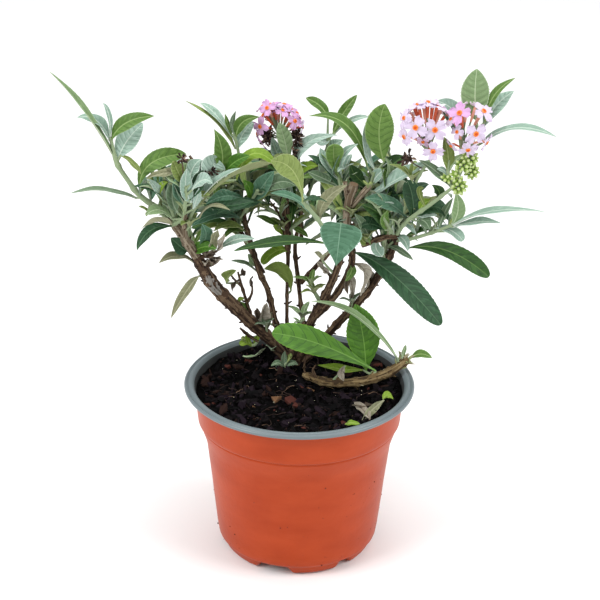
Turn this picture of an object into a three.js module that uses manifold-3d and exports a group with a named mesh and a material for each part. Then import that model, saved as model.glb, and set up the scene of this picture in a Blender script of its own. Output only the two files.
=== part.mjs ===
// A small butterfly bush in a round plastic pot, in millimetres with +Z up.
// The origin is the centre of the pot's flat underside, and +Y is the bush's back.
import * as THREE from "three";
import { mergeVertices } from "three/addons/utils/BufferGeometryUtils.js";
import Module from "manifold-3d";

const wasm = await Module();
wasm.setup();

// ---- Driving dimensions ----

const GAP = 0.35; // clearance between any two neighbouring solids

const POT = {
  height: 94,
  rimRadius: 60, // outer edge of the rolled lip
  lipThickness: 2.4,
  lipRounding: 1.2,
  wallTopRadius: 54.5, // outside of the wall just under the lip
  collarHeight: 74, // the collar's lower edge, where the wall steps in
  collarRadius: 52.6,
  collarStep: 1.2,
  shoulderHeight: 61,
  shoulderRadius: 48.2,
  wallRows: [[43, 15.5], [45.3, 36]], // radius and height of the wall between heel and shoulder
  heelHeight: 6.5, // the wall ends here and the foot ring starts
  heelRadius: 42,
  footRadius: 38,
  footFlare: 2.2, // how much wider the foot ring is at its top
  footRounding: 1.4,
  floorTop: 7.3,
  wall: 1.4,
  segments: 48,
};

const FOOT_NOTCH = {
  count: 6, // wide and narrow by turns
  firstAngle: -18, // a wide one, in degrees from the front towards +X
  height: 5,
  wide: { mouthHalfWidth: 10.5, roofHalfWidth: 6 },
  narrow: { mouthHalfWidth: 5.3, roofHalfWidth: 1.7 },
  innerRadius: 25,
};

const SOIL = {
  level: 88.4,
  shoulderDrop: 1, // the top is rounded off by this much at the wall
  shoulderWidth: 3,
  floor: POT.floorTop + GAP,
  unevenness: 0.6,
  rings: 4,
};

const ROOTSTOCK = {
  centre: [-4, 30],
  height: 8.8,
  footRadius: 11.5,
  neckRadius: 7.5,
  lean: 1.5,
  calmRadius: 17, // the soil is level within this distance of it
  sides: 14,
  rings: 4,
};

const LIMB_SIDES = 8;
const LIMB_STEPS = 7;

const COLOUR = {
  terracotta: 0xc4522f,
  soil: 0x2b211c,
  bark: 0x6d5442,
  greenWood: 0x93a083,
  leaf: 0x5f7f5a,
  silverLeaf: 0x93a699,
  freshLeaf: 0x6f9f3f,
  blossom: 0xd9a3c2,
};

const ROUGHNESS = { leaf: 0.9, bark: 0.85, plastic: 0.5, soil: 1 };

// ---- Helpers ----

const point = ([x, y, z]) => new THREE.Vector3(x, y, z);

function material(colour, roughness) {
  return new THREE.MeshStandardMaterial({ color: colour, roughness, metalness: 0 });
}

// A closed geometry as a solid that can be cut and joined.
function solidOf(geometry) {
  const bare = geometry.clone();
  bare.deleteAttribute("normal");
  bare.deleteAttribute("uv");
  const merged = mergeVertices(bare, 1e-4);
  const mesh = new wasm.Mesh({
    numProp: 3,
    vertProperties: new Float32Array(merged.attributes.position.array),
    triVerts: new Uint32Array(merged.index.array),
  });
  return new wasm.Manifold(mesh);
}

// A solid back as a geometry with flat-shaded faces.
function geometryOf(solid) {
  const mesh = solid.getMesh();
  const geometry = new THREE.BufferGeometry();
  geometry.setAttribute("position", new THREE.BufferAttribute(new Float32Array(mesh.vertProperties), 3));
  geometry.setIndex(new THREE.BufferAttribute(new Uint32Array(mesh.triVerts), 1));
  const faceted = geometry.toNonIndexed();
  faceted.computeVertexNormals();
  return faceted;
}

// What is left of a solid once its neighbours are cut from it: the largest body.
function cutFrom(solid, neighbours) {
  const left = neighbours.reduce((rest, neighbour) => rest.subtract(neighbour), solid);
  return left.decompose().reduce((best, body) => (body.volume() > best.volume() ? body : best));
}

// A round limb along a curve: a closed cylinder bent onto it, with its radius given along the way.
function limbGeometry(curve, radiusAt, sides, steps) {
  const geometry = new THREE.CylinderGeometry(1, 1, 1, sides, steps);
  const frames = curve.computeFrenetFrames(steps);
  const position = geometry.attributes.position;
  const place = new THREE.Vector3();
  for (let i = 0; i < position.count; i += 1) {
    const t = position.getY(i) + 0.5;
    const ring = Math.round(t * steps);
    const radius = radiusAt(t);
    place.copy(curve.getPointAt(t));
    place.addScaledVector(frames.normals[ring], -position.getX(i) * radius);
    place.addScaledVector(frames.binormals[ring], position.getZ(i) * radius);
    position.setXYZ(i, place.x, place.y, place.z);
  }
  return geometry;
}

// ---- Pot ----

function potGeometry() {
  const p = POT;
  const underLip = p.height - p.lipThickness;
  const innerTop = p.wallTopRadius - p.wall;
  const outline = [
    [0, 0],
    [p.footRadius, 0],
    [p.footRadius + p.footFlare / 2, p.footRounding],
    [p.footRadius + p.footFlare, p.heelHeight - p.footRounding],
    [p.heelRadius, p.heelHeight],
    ...p.wallRows,
    [p.shoulderRadius, p.shoulderHeight],
    [p.collarRadius - p.collarStep, p.collarHeight - p.collarStep],
    [p.collarRadius, p.collarHeight],
    [p.wallTopRadius, underLip - p.lipRounding],
    [p.wallTopRadius + p.lipRounding, underLip],
    [p.rimRadius - p.lipRounding / 2, underLip],
    [p.rimRadius, underLip + p.lipRounding],
    [p.rimRadius - p.lipRounding / 2, p.height],
    [innerTop + p.lipRounding, p.height],
    [innerTop, p.height - p.lipRounding],
    [p.collarRadius - p.collarStep - p.wall, p.collarHeight],
    [p.shoulderRadius - p.wall, p.shoulderHeight],
    [p.heelRadius - p.wall, p.floorTop],
    [0, p.floorTop],
  ];
  const profile = outline.map(([radius, z]) => new THREE.Vector2(radius, z));
  const body = new THREE.LatheGeometry(profile, p.segments).rotateX(Math.PI / 2);
  return geometryOf(cutFootNotches(solidOf(body)));
}

// The raised channels that part the foot ring into feet.
function cutFootNotches(pot) {
  const n = FOOT_NOTCH;
  const depth = POT.rimRadius - n.innerRadius;
  let cut = pot;
  for (let k = 0; k < n.count; k += 1) {
    const { mouthHalfWidth, roofHalfWidth } = k % 2 === 0 ? n.wide : n.narrow;
    const mouth = new THREE.Shape([
      new THREE.Vector2(-mouthHalfWidth, -1),
      new THREE.Vector2(mouthHalfWidth, -1),
      new THREE.Vector2(roofHalfWidth, n.height),
      new THREE.Vector2(-roofHalfWidth, n.height),
    ]);
    const angle = n.firstAngle + (360 / n.count) * k;
    const channel = new THREE.ExtrudeGeometry(mouth, { depth, bevelEnabled: false });
    channel.rotateX(Math.PI / 2).translate(0, -n.innerRadius, 0);
    channel.rotateZ(THREE.MathUtils.degToRad(angle));
    cut = cut.subtract(solidOf(channel));
  }
  return cut;
}

// ---- Soil ----

// Height of the uneven soil above its nominal level.
function soilWave(x, y) {
  const [cx, cy] = ROOTSTOCK.centre;
  const away = Math.hypot(x - cx, y - cy) - ROOTSTOCK.calmRadius;
  const free = THREE.MathUtils.smoothstep(away, 0, ROOTSTOCK.calmRadius);
  const waves = Math.sin(x * 0.13 + 1) + Math.sin(y * 0.17 - x * 0.05) + Math.sin((x + y) * 0.1 + 2);
  return (free * SOIL.unevenness * waves) / 2;
}

function soilGeometry() {
  const p = POT;
  const clear = p.wall + GAP;
  const underCollar = p.collarRadius - p.collarStep - clear;
  const slope = (p.wallTopRadius - clear - underCollar) / (p.height - p.lipRounding - p.collarHeight);
  const edgeHeight = SOIL.level - SOIL.shoulderDrop;
  const edge = underCollar + slope * (edgeHeight - p.collarHeight);
  const outline = [
    [0, SOIL.floor],
    [p.heelRadius - clear - GAP, SOIL.floor],
    [p.shoulderRadius - clear, p.shoulderHeight],
    [underCollar, p.collarHeight],
    [edge, edgeHeight],
  ];
  for (let ring = SOIL.rings; ring >= 0; ring -= 1) {
    outline.push([((edge - SOIL.shoulderWidth) * ring) / SOIL.rings, SOIL.level]);
  }
  const profile = outline.map(([radius, z]) => new THREE.Vector2(radius, z));
  const geometry = new THREE.LatheGeometry(profile, p.segments / 2).rotateX(Math.PI / 2);
  const position = geometry.attributes.position;
  for (let i = 0; i < position.count; i += 1) {
    if (position.getZ(i) > SOIL.level - 0.01) {
      position.setZ(i, SOIL.level + soilWave(position.getX(i), position.getY(i)));
    }
  }
  return geometry;
}

// ---- Rootstock and limbs ----

// The stump that the limbs spring from, made larger at its sides and top by grow.
function rootstockGeometry(grow = 0) {
  const r = ROOTSTOCK;
  const foot = new THREE.Vector3(r.centre[0], r.centre[1], SOIL.level + GAP);
  const axis = new THREE.LineCurve3(foot, foot.clone().setZ(foot.z + r.height + grow));
  const flare = (t) => grow + r.neckRadius + (r.footRadius - r.neckRadius) * (1 - t) ** 2;
  const stump = limbGeometry(axis, flare, r.sides, r.rings);
  // The stump leans back as a shear, so that its foot stays flat on the soil.
  const position = stump.attributes.position;
  for (let i = 0; i < position.count; i += 1) {
    const rise = (position.getZ(i) - foot.z) / r.height;
    position.setY(i, position.getY(i) + r.lean * rise);
  }
  return stump;
}

// Each limb runs from its foot over a bend to its tip, with its diameters at foot and tip.
const LIMBS = [
  {
    name: "stem_left",
    route: [[-8, 29, 91.5], [-28, 18, 118.5], [-46, 1, 154], [-58, -5, 179]],
    diameters: [8.2, 4.6],
  },
  {
    name: "stem_left_inner",
    route: [[-8, 34, 93.5], [-17, 39, 126], [-27, 44, 155], [-33, 48, 177]],
    diameters: [4, 2.8],
  },
  {
    name: "stem_back",
    route: [[-5, 35, 94.5], [-7, 46, 127], [-9, 56, 169]],
    diameters: [3.2, 2.2],
  },
  {
    name: "stem_back_right",
    route: [[1, 34, 94.5], [1, 50, 121.5], [-2, 64, 141.5], [-1, 82, 176]],
    diameters: [3.4, 2.4],
  },
  {
    name: "bough_back_left",
    route: [[-20, 42, 136], [-33, 49, 159], [-52, 60, 185]],
    diameters: [2.8, 2],
  },
  {
    name: "bough_back_right",
    route: [[0, 53, 125.5], [24, 50, 157], [54, 50, 200]],
    diameters: [2.8, 2],
  },
  {
    name: "stem_middle",
    route: [[1, 28, 93.5], [10, 16, 129.5], [19, 3, 157], [24, -11, 195]],
    diameters: [5.4, 3.6],
  },
  {
    name: "stem_middle_fork",
    route: [[11, 15, 131.5], [22, 12, 144], [27, 12, 160], [31, 13, 180]],
    diameters: [4.6, 3.2],
  },
  {
    name: "stem_right",
    route: [[3, 27, 92.5], [22, 18, 121.5], [38, 12, 146], [50, 4, 179]],
    diameters: [5.4, 4],
  },
  {
    name: "shoot_left",
    route: [[-60, -5, 181], [-71, -6, 191], [-82, -7, 201], [-92, -8, 220]],
    diameters: [3.4, 2.6],
  },
  {
    name: "shoot_right",
    route: [[56, 1, 183], [64, -6, 196], [75, -12, 210]],
    diameters: [3.4, 2.6],
  },
  {
    name: "shoot_front",
    route: [[23, -7, 187], [14, -24, 191], [4, -38, 207]],
    diameters: [3, 2.4],
  },
  {
    name: "twig_trailing",
    route: [[3, 11, 91.2], [24, 1.5, 91.3], [44, 7.3, 94.2], [57.5, 12.7, 101.2]],
    diameters: [4.6, 4],
  },
];

function limbSolid(limb, grow = 0) {
  const curve = new THREE.CatmullRomCurve3(limb.route.map(point));
  const [foot, tip] = limb.diameters.map((diameter) => diameter / 2 + grow);
  const taper = (t) => foot + (tip - foot) * t;
  return solidOf(limbGeometry(curve, taper, LIMB_SIDES, LIMB_STEPS));
}

// ---- Foliage ----

// Each mass runs between two ends. Its width is measured across that line in the vertical plane,
// and its thickness from front to back.
const CROWN = [
  { name: "foliage_left", ends: [[-84, -10, 193], [-30, -3, 201]], width: 48, thickness: 38 },
  { name: "foliage_left_crest", ends: [[-94, -8, 211], [-78, -8, 248]], width: 27, thickness: 26 },
  { name: "foliage_left_underside", ends: [[-82, -27, 176], [-54, -16, 185]], width: 13, thickness: 18 },
  { name: "foliage_upper_left", ends: [[-16, 40, 194], [-60, 52, 231]], width: 27, thickness: 30 },
  { name: "foliage_back_left", ends: [[-36, 44, 177], [-78, 74, 207]], width: 34, thickness: 40 },
  { name: "foliage_centre", ends: [[-42, 40, 182], [20, 48, 188]], width: 42, thickness: 48 },
  { name: "foliage_centre_blossom", ends: [[-13, 54, 197], [-13, 60, 228]], width: 27, thickness: 24 },
  { name: "foliage_front", ends: [[14, -14, 189], [-14, -58, 235]], width: 26, thickness: 20 },
  { name: "foliage_top_centre", ends: [[2, 56, 197], [20, 68, 230]], width: 30, thickness: 28 },
  { name: "foliage_back_centre", ends: [[-38, 84, 176], [34, 92, 190]], width: 40, thickness: 34 },
  { name: "foliage_right_centre", ends: [[26, 18, 174], [38, 10, 243]], width: 40, thickness: 40 },
  { name: "foliage_right", ends: [[40, 4, 180], [74, -2, 187]], width: 27, thickness: 34 },
  { name: "foliage_right_blossom", ends: [[48, -10, 234], [92, -12, 241]], width: 27, thickness: 30 },
  { name: "foliage_right_buds", ends: [[73, -13, 207], [81, -12, 232]], width: 11, thickness: 12 },
  { name: "foliage_right_crest", ends: [[82, -7, 232], [85, -3, 266]], width: 15, thickness: 9 },
  { name: "foliage_right_shoulder", ends: [[84, -5, 236], [106, 8, 257]], width: 12, thickness: 12 },
  { name: "foliage_back_right", ends: [[40, 36, 190], [84, 66, 221]], width: 36, thickness: 40 },
];

// Long single leaves that reach out of the crown or rise from the rootstock: thin pads.
const PADS = [
  { name: "leaf_left_high", ends: [[-92, -9, 232], [-121, -14, 264]], width: 7, thickness: 6 },
  { name: "leaf_left_low", ends: [[-76, -8, 199], [-113, -16, 202]], width: 5, thickness: 9 },
  { name: "leaf_left_hanging", ends: [[-50, -1, 160], [-67, -7, 131]], width: 8, thickness: 5 },
  { name: "leaf_left_tan", ends: [[-50, -3, 167], [-73, -12, 163]], width: 6, thickness: 7 },
  { name: "leaf_front_dark", ends: [[20, -26, 189], [-32, -46, 187]], width: 7, thickness: 14 },
  { name: "leaf_front_drooping", ends: [[10, -35, 212], [20, -64, 183]], width: 20, thickness: 6 },
  { name: "leaf_right_high", ends: [[86, -9, 232], [123, -15, 236]], width: 6, thickness: 10 },
  { name: "leaf_right_long", ends: [[68, -5, 188], [119, -21, 199]], width: 8, thickness: 11 },
  { name: "leaf_right_low", ends: [[46, -5, 179], [94, -31, 168]], width: 9, thickness: 12 },
  { name: "leaf_right_drooping", ends: [[22, -4, 179], [68, -63, 154]], width: 14, thickness: 9 },
  { name: "leaf_base_front", ends: [[40.5, 8.8, 95.2], [-14, -7, 126]], width: 17, thickness: 7 },
  { name: "leaf_base_upright", ends: [[36.5, 7.6, 94.7], [29, 26, 130]], width: 17, thickness: 5 },
  { name: "leaf_base_side", ends: [[53, 12.5, 101.2], [4, 2, 141]], width: 5, thickness: 6 },
  { name: "sprout_base", ends: [[-13, 21, 89.1], [-26, 17, 109]], width: 8, thickness: 8 },
];

// The facets of a mass and how far its surface strays from an even one, as a share of its width.
const CROWN_SHAPE = { detail: 2, bumps: 0.34 };
const PAD_SHAPE = { detail: 1, bumps: 0.1 };

// How far a mass strays from an even shape in one direction, between -1 and 1.
function bump(direction, seed) {
  const { x, y, z } = direction;
  const wide = Math.sin(3.1 * x + 1.7 * seed) * Math.cos(2.7 * y - 0.9 * seed);
  const fine = Math.sin(5.3 * z + 2.3 * seed + 3.7 * x) * Math.cos(4.9 * y + seed);
  return 0.55 * wide + 0.45 * fine;
}

// A closed uneven spindle between its two ends, made larger all round by grow.
function massSolid(mass, grow = 0) {
  const { detail, bumps, seed } = mass;
  const [start, end] = mass.ends.map(point);
  const along = end.clone().sub(start);
  const centre = start.clone().addScaledVector(along, 0.5);
  const length = along.length();
  along.normalize();
  const across = new THREE.Vector3().crossVectors(along, new THREE.Vector3(0, 1, 0)).normalize();
  const through = new THREE.Vector3().crossVectors(along, across);
  const half = [length / 2, mass.width / 2, mass.thickness / 2];
  const geometry = new THREE.IcosahedronGeometry(1, detail);
  const position = geometry.attributes.position;
  const direction = new THREE.Vector3();
  for (let i = 0; i < position.count; i += 1) {
    direction.fromBufferAttribute(position, i);
    const side = 1 + bumps * bump(direction, seed);
    const place = centre.clone();
    place.addScaledVector(along, direction.x * (half[0] + grow));
    place.addScaledVector(across, direction.y * (half[1] * side + grow));
    place.addScaledVector(through, direction.z * (half[2] * side + grow));
    position.setXYZ(i, place.x, place.y, place.z);
  }
  return solidOf(geometry);
}

// ---- Assembly ----

const plant = new THREE.Group();

function addMesh(name, geometry, colour, roughness) {
  const mesh = new THREE.Mesh(geometry, material(colour, roughness));
  mesh.name = name;
  plant.add(mesh);
}

function foliageColour(name) {
  if (name.includes("blossom")) {
    return COLOUR.blossom;
  }
  if (name.includes("base")) {
    return COLOUR.freshLeaf;
  }
  return name.startsWith("leaf") ? COLOUR.silverLeaf : COLOUR.leaf;
}

const withShape = (list, shape) => list.map((mass, index) => ({ ...mass, ...shape, seed: index + 1 }));

// Foliage first: each mass is cut back from the masses before it.
const blockers = [];
for (const mass of [...withShape(CROWN, CROWN_SHAPE), ...withShape(PADS, PAD_SHAPE)]) {
  const solid = cutFrom(massSolid(mass), blockers);
  blockers.push(massSolid(mass, GAP));
  addMesh(mass.name, geometryOf(solid), foliageColour(mass.name), ROUGHNESS.leaf);
}

// Limbs end where they enter a mass, the rootstock or an earlier limb.
blockers.push(solidOf(rootstockGeometry(GAP)));
for (const limb of LIMBS) {
  const solid = cutFrom(limbSolid(limb), blockers);
  blockers.push(limbSolid(limb, GAP));
  const wood = limb.name.startsWith("shoot") ? COLOUR.greenWood : COLOUR.bark;
  addMesh(limb.name, geometryOf(solid), wood, ROUGHNESS.bark);
}

addMesh("rootstock", rootstockGeometry(), COLOUR.bark, ROUGHNESS.bark);
addMesh("pot", potGeometry(), COLOUR.terracotta, ROUGHNESS.plastic);
addMesh("soil", soilGeometry(), COLOUR.soil, ROUGHNESS.soil);

export default plant;
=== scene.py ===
"""A young butterfly bush in its plastic pot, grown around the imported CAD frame. Sizes are in millimetres."""

import math

import bpy
import numpy as np
from mathutils import Matrix, Vector, noise


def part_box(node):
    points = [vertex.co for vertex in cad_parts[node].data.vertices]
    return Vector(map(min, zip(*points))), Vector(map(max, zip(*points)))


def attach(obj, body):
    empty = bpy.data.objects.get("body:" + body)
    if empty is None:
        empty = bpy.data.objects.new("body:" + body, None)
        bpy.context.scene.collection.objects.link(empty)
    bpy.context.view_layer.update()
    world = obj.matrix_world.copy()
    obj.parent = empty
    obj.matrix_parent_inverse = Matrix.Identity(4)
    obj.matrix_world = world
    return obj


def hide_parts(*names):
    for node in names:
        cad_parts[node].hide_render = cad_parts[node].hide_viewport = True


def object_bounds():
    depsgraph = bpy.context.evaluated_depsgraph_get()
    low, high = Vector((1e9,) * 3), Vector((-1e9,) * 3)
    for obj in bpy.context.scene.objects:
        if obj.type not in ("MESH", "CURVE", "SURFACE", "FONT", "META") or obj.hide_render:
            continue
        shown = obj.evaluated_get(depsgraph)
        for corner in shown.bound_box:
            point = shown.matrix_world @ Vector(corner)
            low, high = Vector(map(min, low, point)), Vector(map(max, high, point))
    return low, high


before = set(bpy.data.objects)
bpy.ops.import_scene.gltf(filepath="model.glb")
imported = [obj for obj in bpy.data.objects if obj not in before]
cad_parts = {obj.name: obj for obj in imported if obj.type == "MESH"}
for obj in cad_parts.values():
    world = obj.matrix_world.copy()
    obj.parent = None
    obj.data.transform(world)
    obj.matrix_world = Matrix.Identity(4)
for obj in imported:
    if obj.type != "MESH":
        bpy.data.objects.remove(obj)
CAD_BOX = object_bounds()

MM = 0.001
RNG = np.random.default_rng(20260)
UP = np.array([0.0, 0.0, 1.0])
RIGHT = np.array([1.0, 0.0, 0.0])

# ---------------------------------------------------------------- camera

POT_HEIGHT = 94.0
RIM_RADIUS = 60.0
FRAME_SIDE = 600.0  # pixels, the photograph's own frame
FRAME_CENTRE = (300.5, 300.0)
RIM_RADIUS_SEEN = 115.0  # pixels from the rim's middle to its edge
RIM_BELOW_CENTRE = 80.2  # pixels
CAMERA_DISTANCE = 900.0  # from the lens to the middle of the rim
RIM_ELEVATION = math.radians(27.1)
CAMERA_ROLL = math.radians(0.8)
SENSOR = 36.0

FOCAL_PIXELS = RIM_RADIUS_SEEN / RIM_RADIUS * CAMERA_DISTANCE
PITCH = RIM_ELEVATION - math.atan(RIM_BELOW_CENTRE / FOCAL_PIXELS)
EYE = np.array([0.0, -CAMERA_DISTANCE * math.cos(RIM_ELEVATION),
                POT_HEIGHT + CAMERA_DISTANCE * math.sin(RIM_ELEVATION)])
FORWARD = np.array([0.0, math.cos(PITCH), -math.sin(PITCH)])
ABOVE = np.cross(RIGHT, FORWARD)


def seen(px, py, depth):
    """The point at that pixel of the photograph, on the upright plane at that depth behind the pot's axis."""
    u, v = px - FRAME_CENTRE[0], py - FRAME_CENTRE[1]
    cos, sin = math.cos(CAMERA_ROLL), math.sin(CAMERA_ROLL)
    u, v = u * cos + v * sin, -u * sin + v * cos
    ray = FORWARD * FOCAL_PIXELS + RIGHT * u - ABOVE * v
    return EYE + ray * (depth - EYE[1]) / ray[1]


def pixels(points):
    """Where points show in the photograph: the other way round from seen()."""
    offset = np.atleast_2d(points) - EYE
    away = offset @ FORWARD
    u, v = FOCAL_PIXELS * (offset @ RIGHT) / away, -FOCAL_PIXELS * (offset @ ABOVE) / away
    cos, sin = math.cos(CAMERA_ROLL), math.sin(CAMERA_ROLL)
    return np.stack([FRAME_CENTRE[0] + u * cos - v * sin, FRAME_CENTRE[1] + u * sin + v * cos], -1)


def make_camera():
    """The camera that took the photograph, as it was fitted to the pot."""
    data = bpy.data.cameras.new("camera")
    data.sensor_width = SENSOR
    data.lens = SENSOR * FOCAL_PIXELS / FRAME_SIDE
    data.shift_x = 0.5 - FRAME_CENTRE[0] / FRAME_SIDE
    data.clip_end = 20.0
    camera = bpy.data.objects.new("camera", data)
    bpy.context.scene.collection.objects.link(camera)
    turn = Matrix.Rotation(math.pi / 2 - PITCH, 4, "X") @ Matrix.Rotation(CAMERA_ROLL, 4, "Z")
    camera.matrix_world = Matrix.Translation(Vector(EYE) * MM) @ turn
    bpy.context.scene.camera = camera


# ---------------------------------------------------------------- materials

def rgb(red, green, blue):
    """A screen colour of 0 to 255 as Blender's linear colour."""
    def linear(value):
        value /= 255
        return value / 12.92 if value <= 0.04045 else ((value + 0.055) / 1.055) ** 2.4
    return (linear(red), linear(green), linear(blue), 1.0)


RELIEF_DETAIL = 4.0
RELIEF_DEPTH = 0.3  # as a share of the size of its grain
MOTTLE_DETAIL = 5.0
SHEEN_ROUGHNESS = 0.5


def noise_pattern(material, size, detail, stretch=(1, 1, 1)):
    """The output of a noise texture laid through the object's own space. size is in millimetres."""
    nodes, links = material.node_tree.nodes, material.node_tree.links
    place = nodes.new("ShaderNodeTexCoord")
    mapping = nodes.new("ShaderNodeMapping")
    mapping.inputs["Scale"].default_value = stretch
    pattern = nodes.new("ShaderNodeTexNoise")
    pattern.inputs["Scale"].default_value = 1 / (size * MM)
    pattern.inputs["Detail"].default_value = detail
    links.new(place.outputs["Object"], mapping.inputs["Vector"])
    links.new(mapping.outputs["Vector"], pattern.inputs["Vector"])
    return pattern.outputs["Fac"]


def surface(name, colour, roughness, bump, bump_size, sheen=0.0, specular=0.35):
    """A principled material of one base colour, with fine noise as relief. bump_size is in millimetres."""
    material = bpy.data.materials.new(name)
    material.use_nodes = True
    nodes, links = material.node_tree.nodes, material.node_tree.links
    shader = nodes["Principled BSDF"]
    shader.inputs["Base Color"].default_value = colour
    shader.inputs["Roughness"].default_value = roughness
    shader.inputs["Specular IOR Level"].default_value = specular
    shader.inputs["Sheen Weight"].default_value = sheen
    shader.inputs["Sheen Roughness"].default_value = SHEEN_ROUGHNESS
    relief = nodes.new("ShaderNodeBump")
    relief.inputs["Strength"].default_value = bump
    relief.inputs["Distance"].default_value = RELIEF_DEPTH * bump_size * MM
    links.new(noise_pattern(material, bump_size, RELIEF_DETAIL), relief.inputs["Height"])
    links.new(relief.outputs["Normal"], shader.inputs["Normal"])
    return material


def surfaces(colours, **finish):
    """One material for each name and screen colour, all with the same finish."""
    return [surface(name, rgb(*colour), **finish) for name, colour in colours.items()]


def mottle(material, dark, light, size, stretch, spread):
    """Gives a material two colours in a noise pattern. size is in millimetres."""
    nodes, links = material.node_tree.nodes, material.node_tree.links
    ramp = nodes.new("ShaderNodeValToRGB")
    ramp.color_ramp.elements[0].position = 0.5 - spread
    ramp.color_ramp.elements[0].color = dark
    ramp.color_ramp.elements[1].position = 0.5 + spread
    ramp.color_ramp.elements[1].color = light
    links.new(noise_pattern(material, size, MOTTLE_DETAIL, stretch), ramp.inputs["Fac"])
    links.new(ramp.outputs["Color"], nodes["Principled BSDF"].inputs["Base Color"])


# ---------------------------------------------------------------- mesh building

class Piece:
    """Meshes of one kind, gathered in millimetres and joined into one object."""

    def __init__(self, name, materials, slot, replaces=()):
        self.name = name
        self.materials = materials
        self.slot = slot
        self.replaces = replaces
        self.points = []
        self.faces = []
        self.marks = []
        self.count = 0

    def add(self, points, faces, marks):
        """faces index into points; marks gives each face's material, as a list or one number."""
        points = np.asarray(points, float)
        if isinstance(faces, np.ndarray):
            self.faces.extend((faces + self.count).tolist())
        else:
            self.faces.extend([[int(i) + self.count for i in face] for face in faces])
        self.points.append(points)
        self.marks.append(np.broadcast_to(marks, len(faces)))
        self.count += len(points)

    def build(self, sharp_angle=50):
        """Makes the object. Edges sharper than the angle, in degrees, are shaded as edges."""
        mesh = bpy.data.meshes.new(self.name)
        mesh.from_pydata(np.concatenate(self.points) * MM, [], self.faces)
        for material in self.materials:
            mesh.materials.append(material)
        mesh.polygons.foreach_set("material_index", np.concatenate(self.marks).astype(np.int32))
        mesh.polygons.foreach_set("use_smooth", np.ones(len(self.faces), bool))
        mesh.set_sharp_from_angle(angle=math.radians(sharp_angle))
        mesh.update()
        piece = bpy.data.objects.new(self.name, mesh)
        bpy.context.scene.collection.objects.link(piece)
        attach(piece, "root")
        if self.replaces:
            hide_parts(*self.replaces)


def unit(vector):
    """The vector at length one. Rows of vectors are each brought to length one."""
    return vector / np.maximum(np.linalg.norm(vector, axis=-1, keepdims=True), 1e-9)


def smooth_path(points, steps):
    """A Catmull-Rom curve through rows of numbers, sampled evenly in the rows' own parameter."""
    rows = np.asarray(points, float)
    padded = np.vstack([2 * rows[0] - rows[1], rows, 2 * rows[-1] - rows[-2]])
    t = np.linspace(0, len(rows) - 1, steps)
    k = np.minimum(t.astype(int), len(rows) - 2)
    f = (t - k)[:, None]
    a, b, c, d = padded[k], padded[k + 1], padded[k + 2], padded[k + 3]
    square, cube = 2 * a - 5 * b + 4 * c - d, 3 * b - a - 3 * c + d
    return 0.5 * (2 * b + (c - a) * f + square * f ** 2 + cube * f ** 3)


def carried_normals(path):
    """Two unit normals at each point of a path, carried along it without twist."""
    tangents = unit(np.gradient(path, axis=0))
    side = unit(np.cross(tangents[0], UP if abs(tangents[0][2]) < 0.9 else RIGHT))
    sides = []
    for tangent in tangents:
        side = unit(side - tangent * np.dot(side, tangent))
        sides.append(side)
    sides = np.array(sides)
    return sides, np.cross(tangents, sides)


def tube(piece, path, radii, sides, mark, relief=None):
    """A closed round tube. relief(ring, angle, radius) gives each point's radius, and it is even without one.
    mark is one material, or one for each ring and side."""
    path = np.asarray(path, float)
    radii = np.broadcast_to(radii, len(path))
    normals, binormals = carried_normals(path)
    angles = np.linspace(0, 2 * math.pi, sides, endpoint=False)
    spread = np.broadcast_to(radii[:, None], (len(path), sides)).copy()
    if relief is not None:
        for ring in range(len(path)):
            for k, angle in enumerate(angles):
                spread[ring, k] = relief(ring, angle, radii[ring])
    ring_points = (path[:, None] + (spread * np.cos(angles))[..., None] * normals[:, None]
                   + (spread * np.sin(angles))[..., None] * binormals[:, None])
    points = np.vstack([ring_points.reshape(-1, 3), path[:1], path[-1:]])
    k = np.arange(sides)
    after = (k + 1) % sides
    low = np.arange(len(path) - 1)[:, None] * sides
    walls = np.stack([low + k, low + after, low + sides + after, low + sides + k], -1).reshape(-1, 4)
    last = (len(path) - 1) * sides
    caps = [(len(points) - 2, b, a) for a, b in zip(k, after)]
    caps += [(len(points) - 1, last + a, last + b) for a, b in zip(k, after)]
    wall_marks = np.broadcast_to(mark, (len(path) - 1, sides)).ravel()
    piece.add(points, walls.tolist() + caps, np.concatenate([wall_marks, np.full(len(caps), wall_marks[0])]))


def sheet(piece, grid, back, mark):
    """A closed thin sheet: a grid of points in rows and columns, and the same grid moved by back.
    Its front faces along the step from row to row crossed with the step from column to column."""
    rows, columns, _ = grid.shape
    front = grid.reshape(-1, 3)
    count = len(front)
    a = (np.arange(rows - 1)[:, None] * columns + np.arange(columns - 1)).ravel()
    top = np.stack([a, a + columns, a + columns + 1, a + 1], -1)
    rim = list(range(columns)) + [columns * row + columns - 1 for row in range(1, rows)]
    rim += [columns * (rows - 1) + column for column in range(columns - 2, -1, -1)]
    rim += [columns * row for row in range(rows - 2, 0, -1)]
    edge = [[here, after, after + count, here + count] for here, after in zip(rim, rim[1:] + rim[:1])]
    piece.add(np.vstack([front, front + back]), top.tolist() + (top[:, ::-1] + count).tolist() + edge, mark)


def random_turn():
    """A random rotation matrix."""
    axes, _ = np.linalg.qr(RNG.normal(size=(3, 3)))
    return axes if np.linalg.det(axes) > 0 else -axes


OCTAHEDRON = np.array([(1, 0, 0), (0, 1, 0), (-1, 0, 0), (0, -1, 0), (0, 0, 1), (0, 0, -1)], float)
OCTAHEDRON_FACES = [(0, 1, 4), (1, 2, 4), (2, 3, 4), (3, 0, 4), (1, 0, 5), (2, 1, 5), (3, 2, 5), (0, 3, 5)]


def crumb(piece, centre, size, shape, mark):
    """A small rough grain of eight faces."""
    points = OCTAHEDRON * shape * size * RNG.uniform(0.7, 1.25, (6, 1))
    piece.add(points @ random_turn() + centre, OCTAHEDRON_FACES, mark)


# ---------------------------------------------------------------- pot

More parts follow.
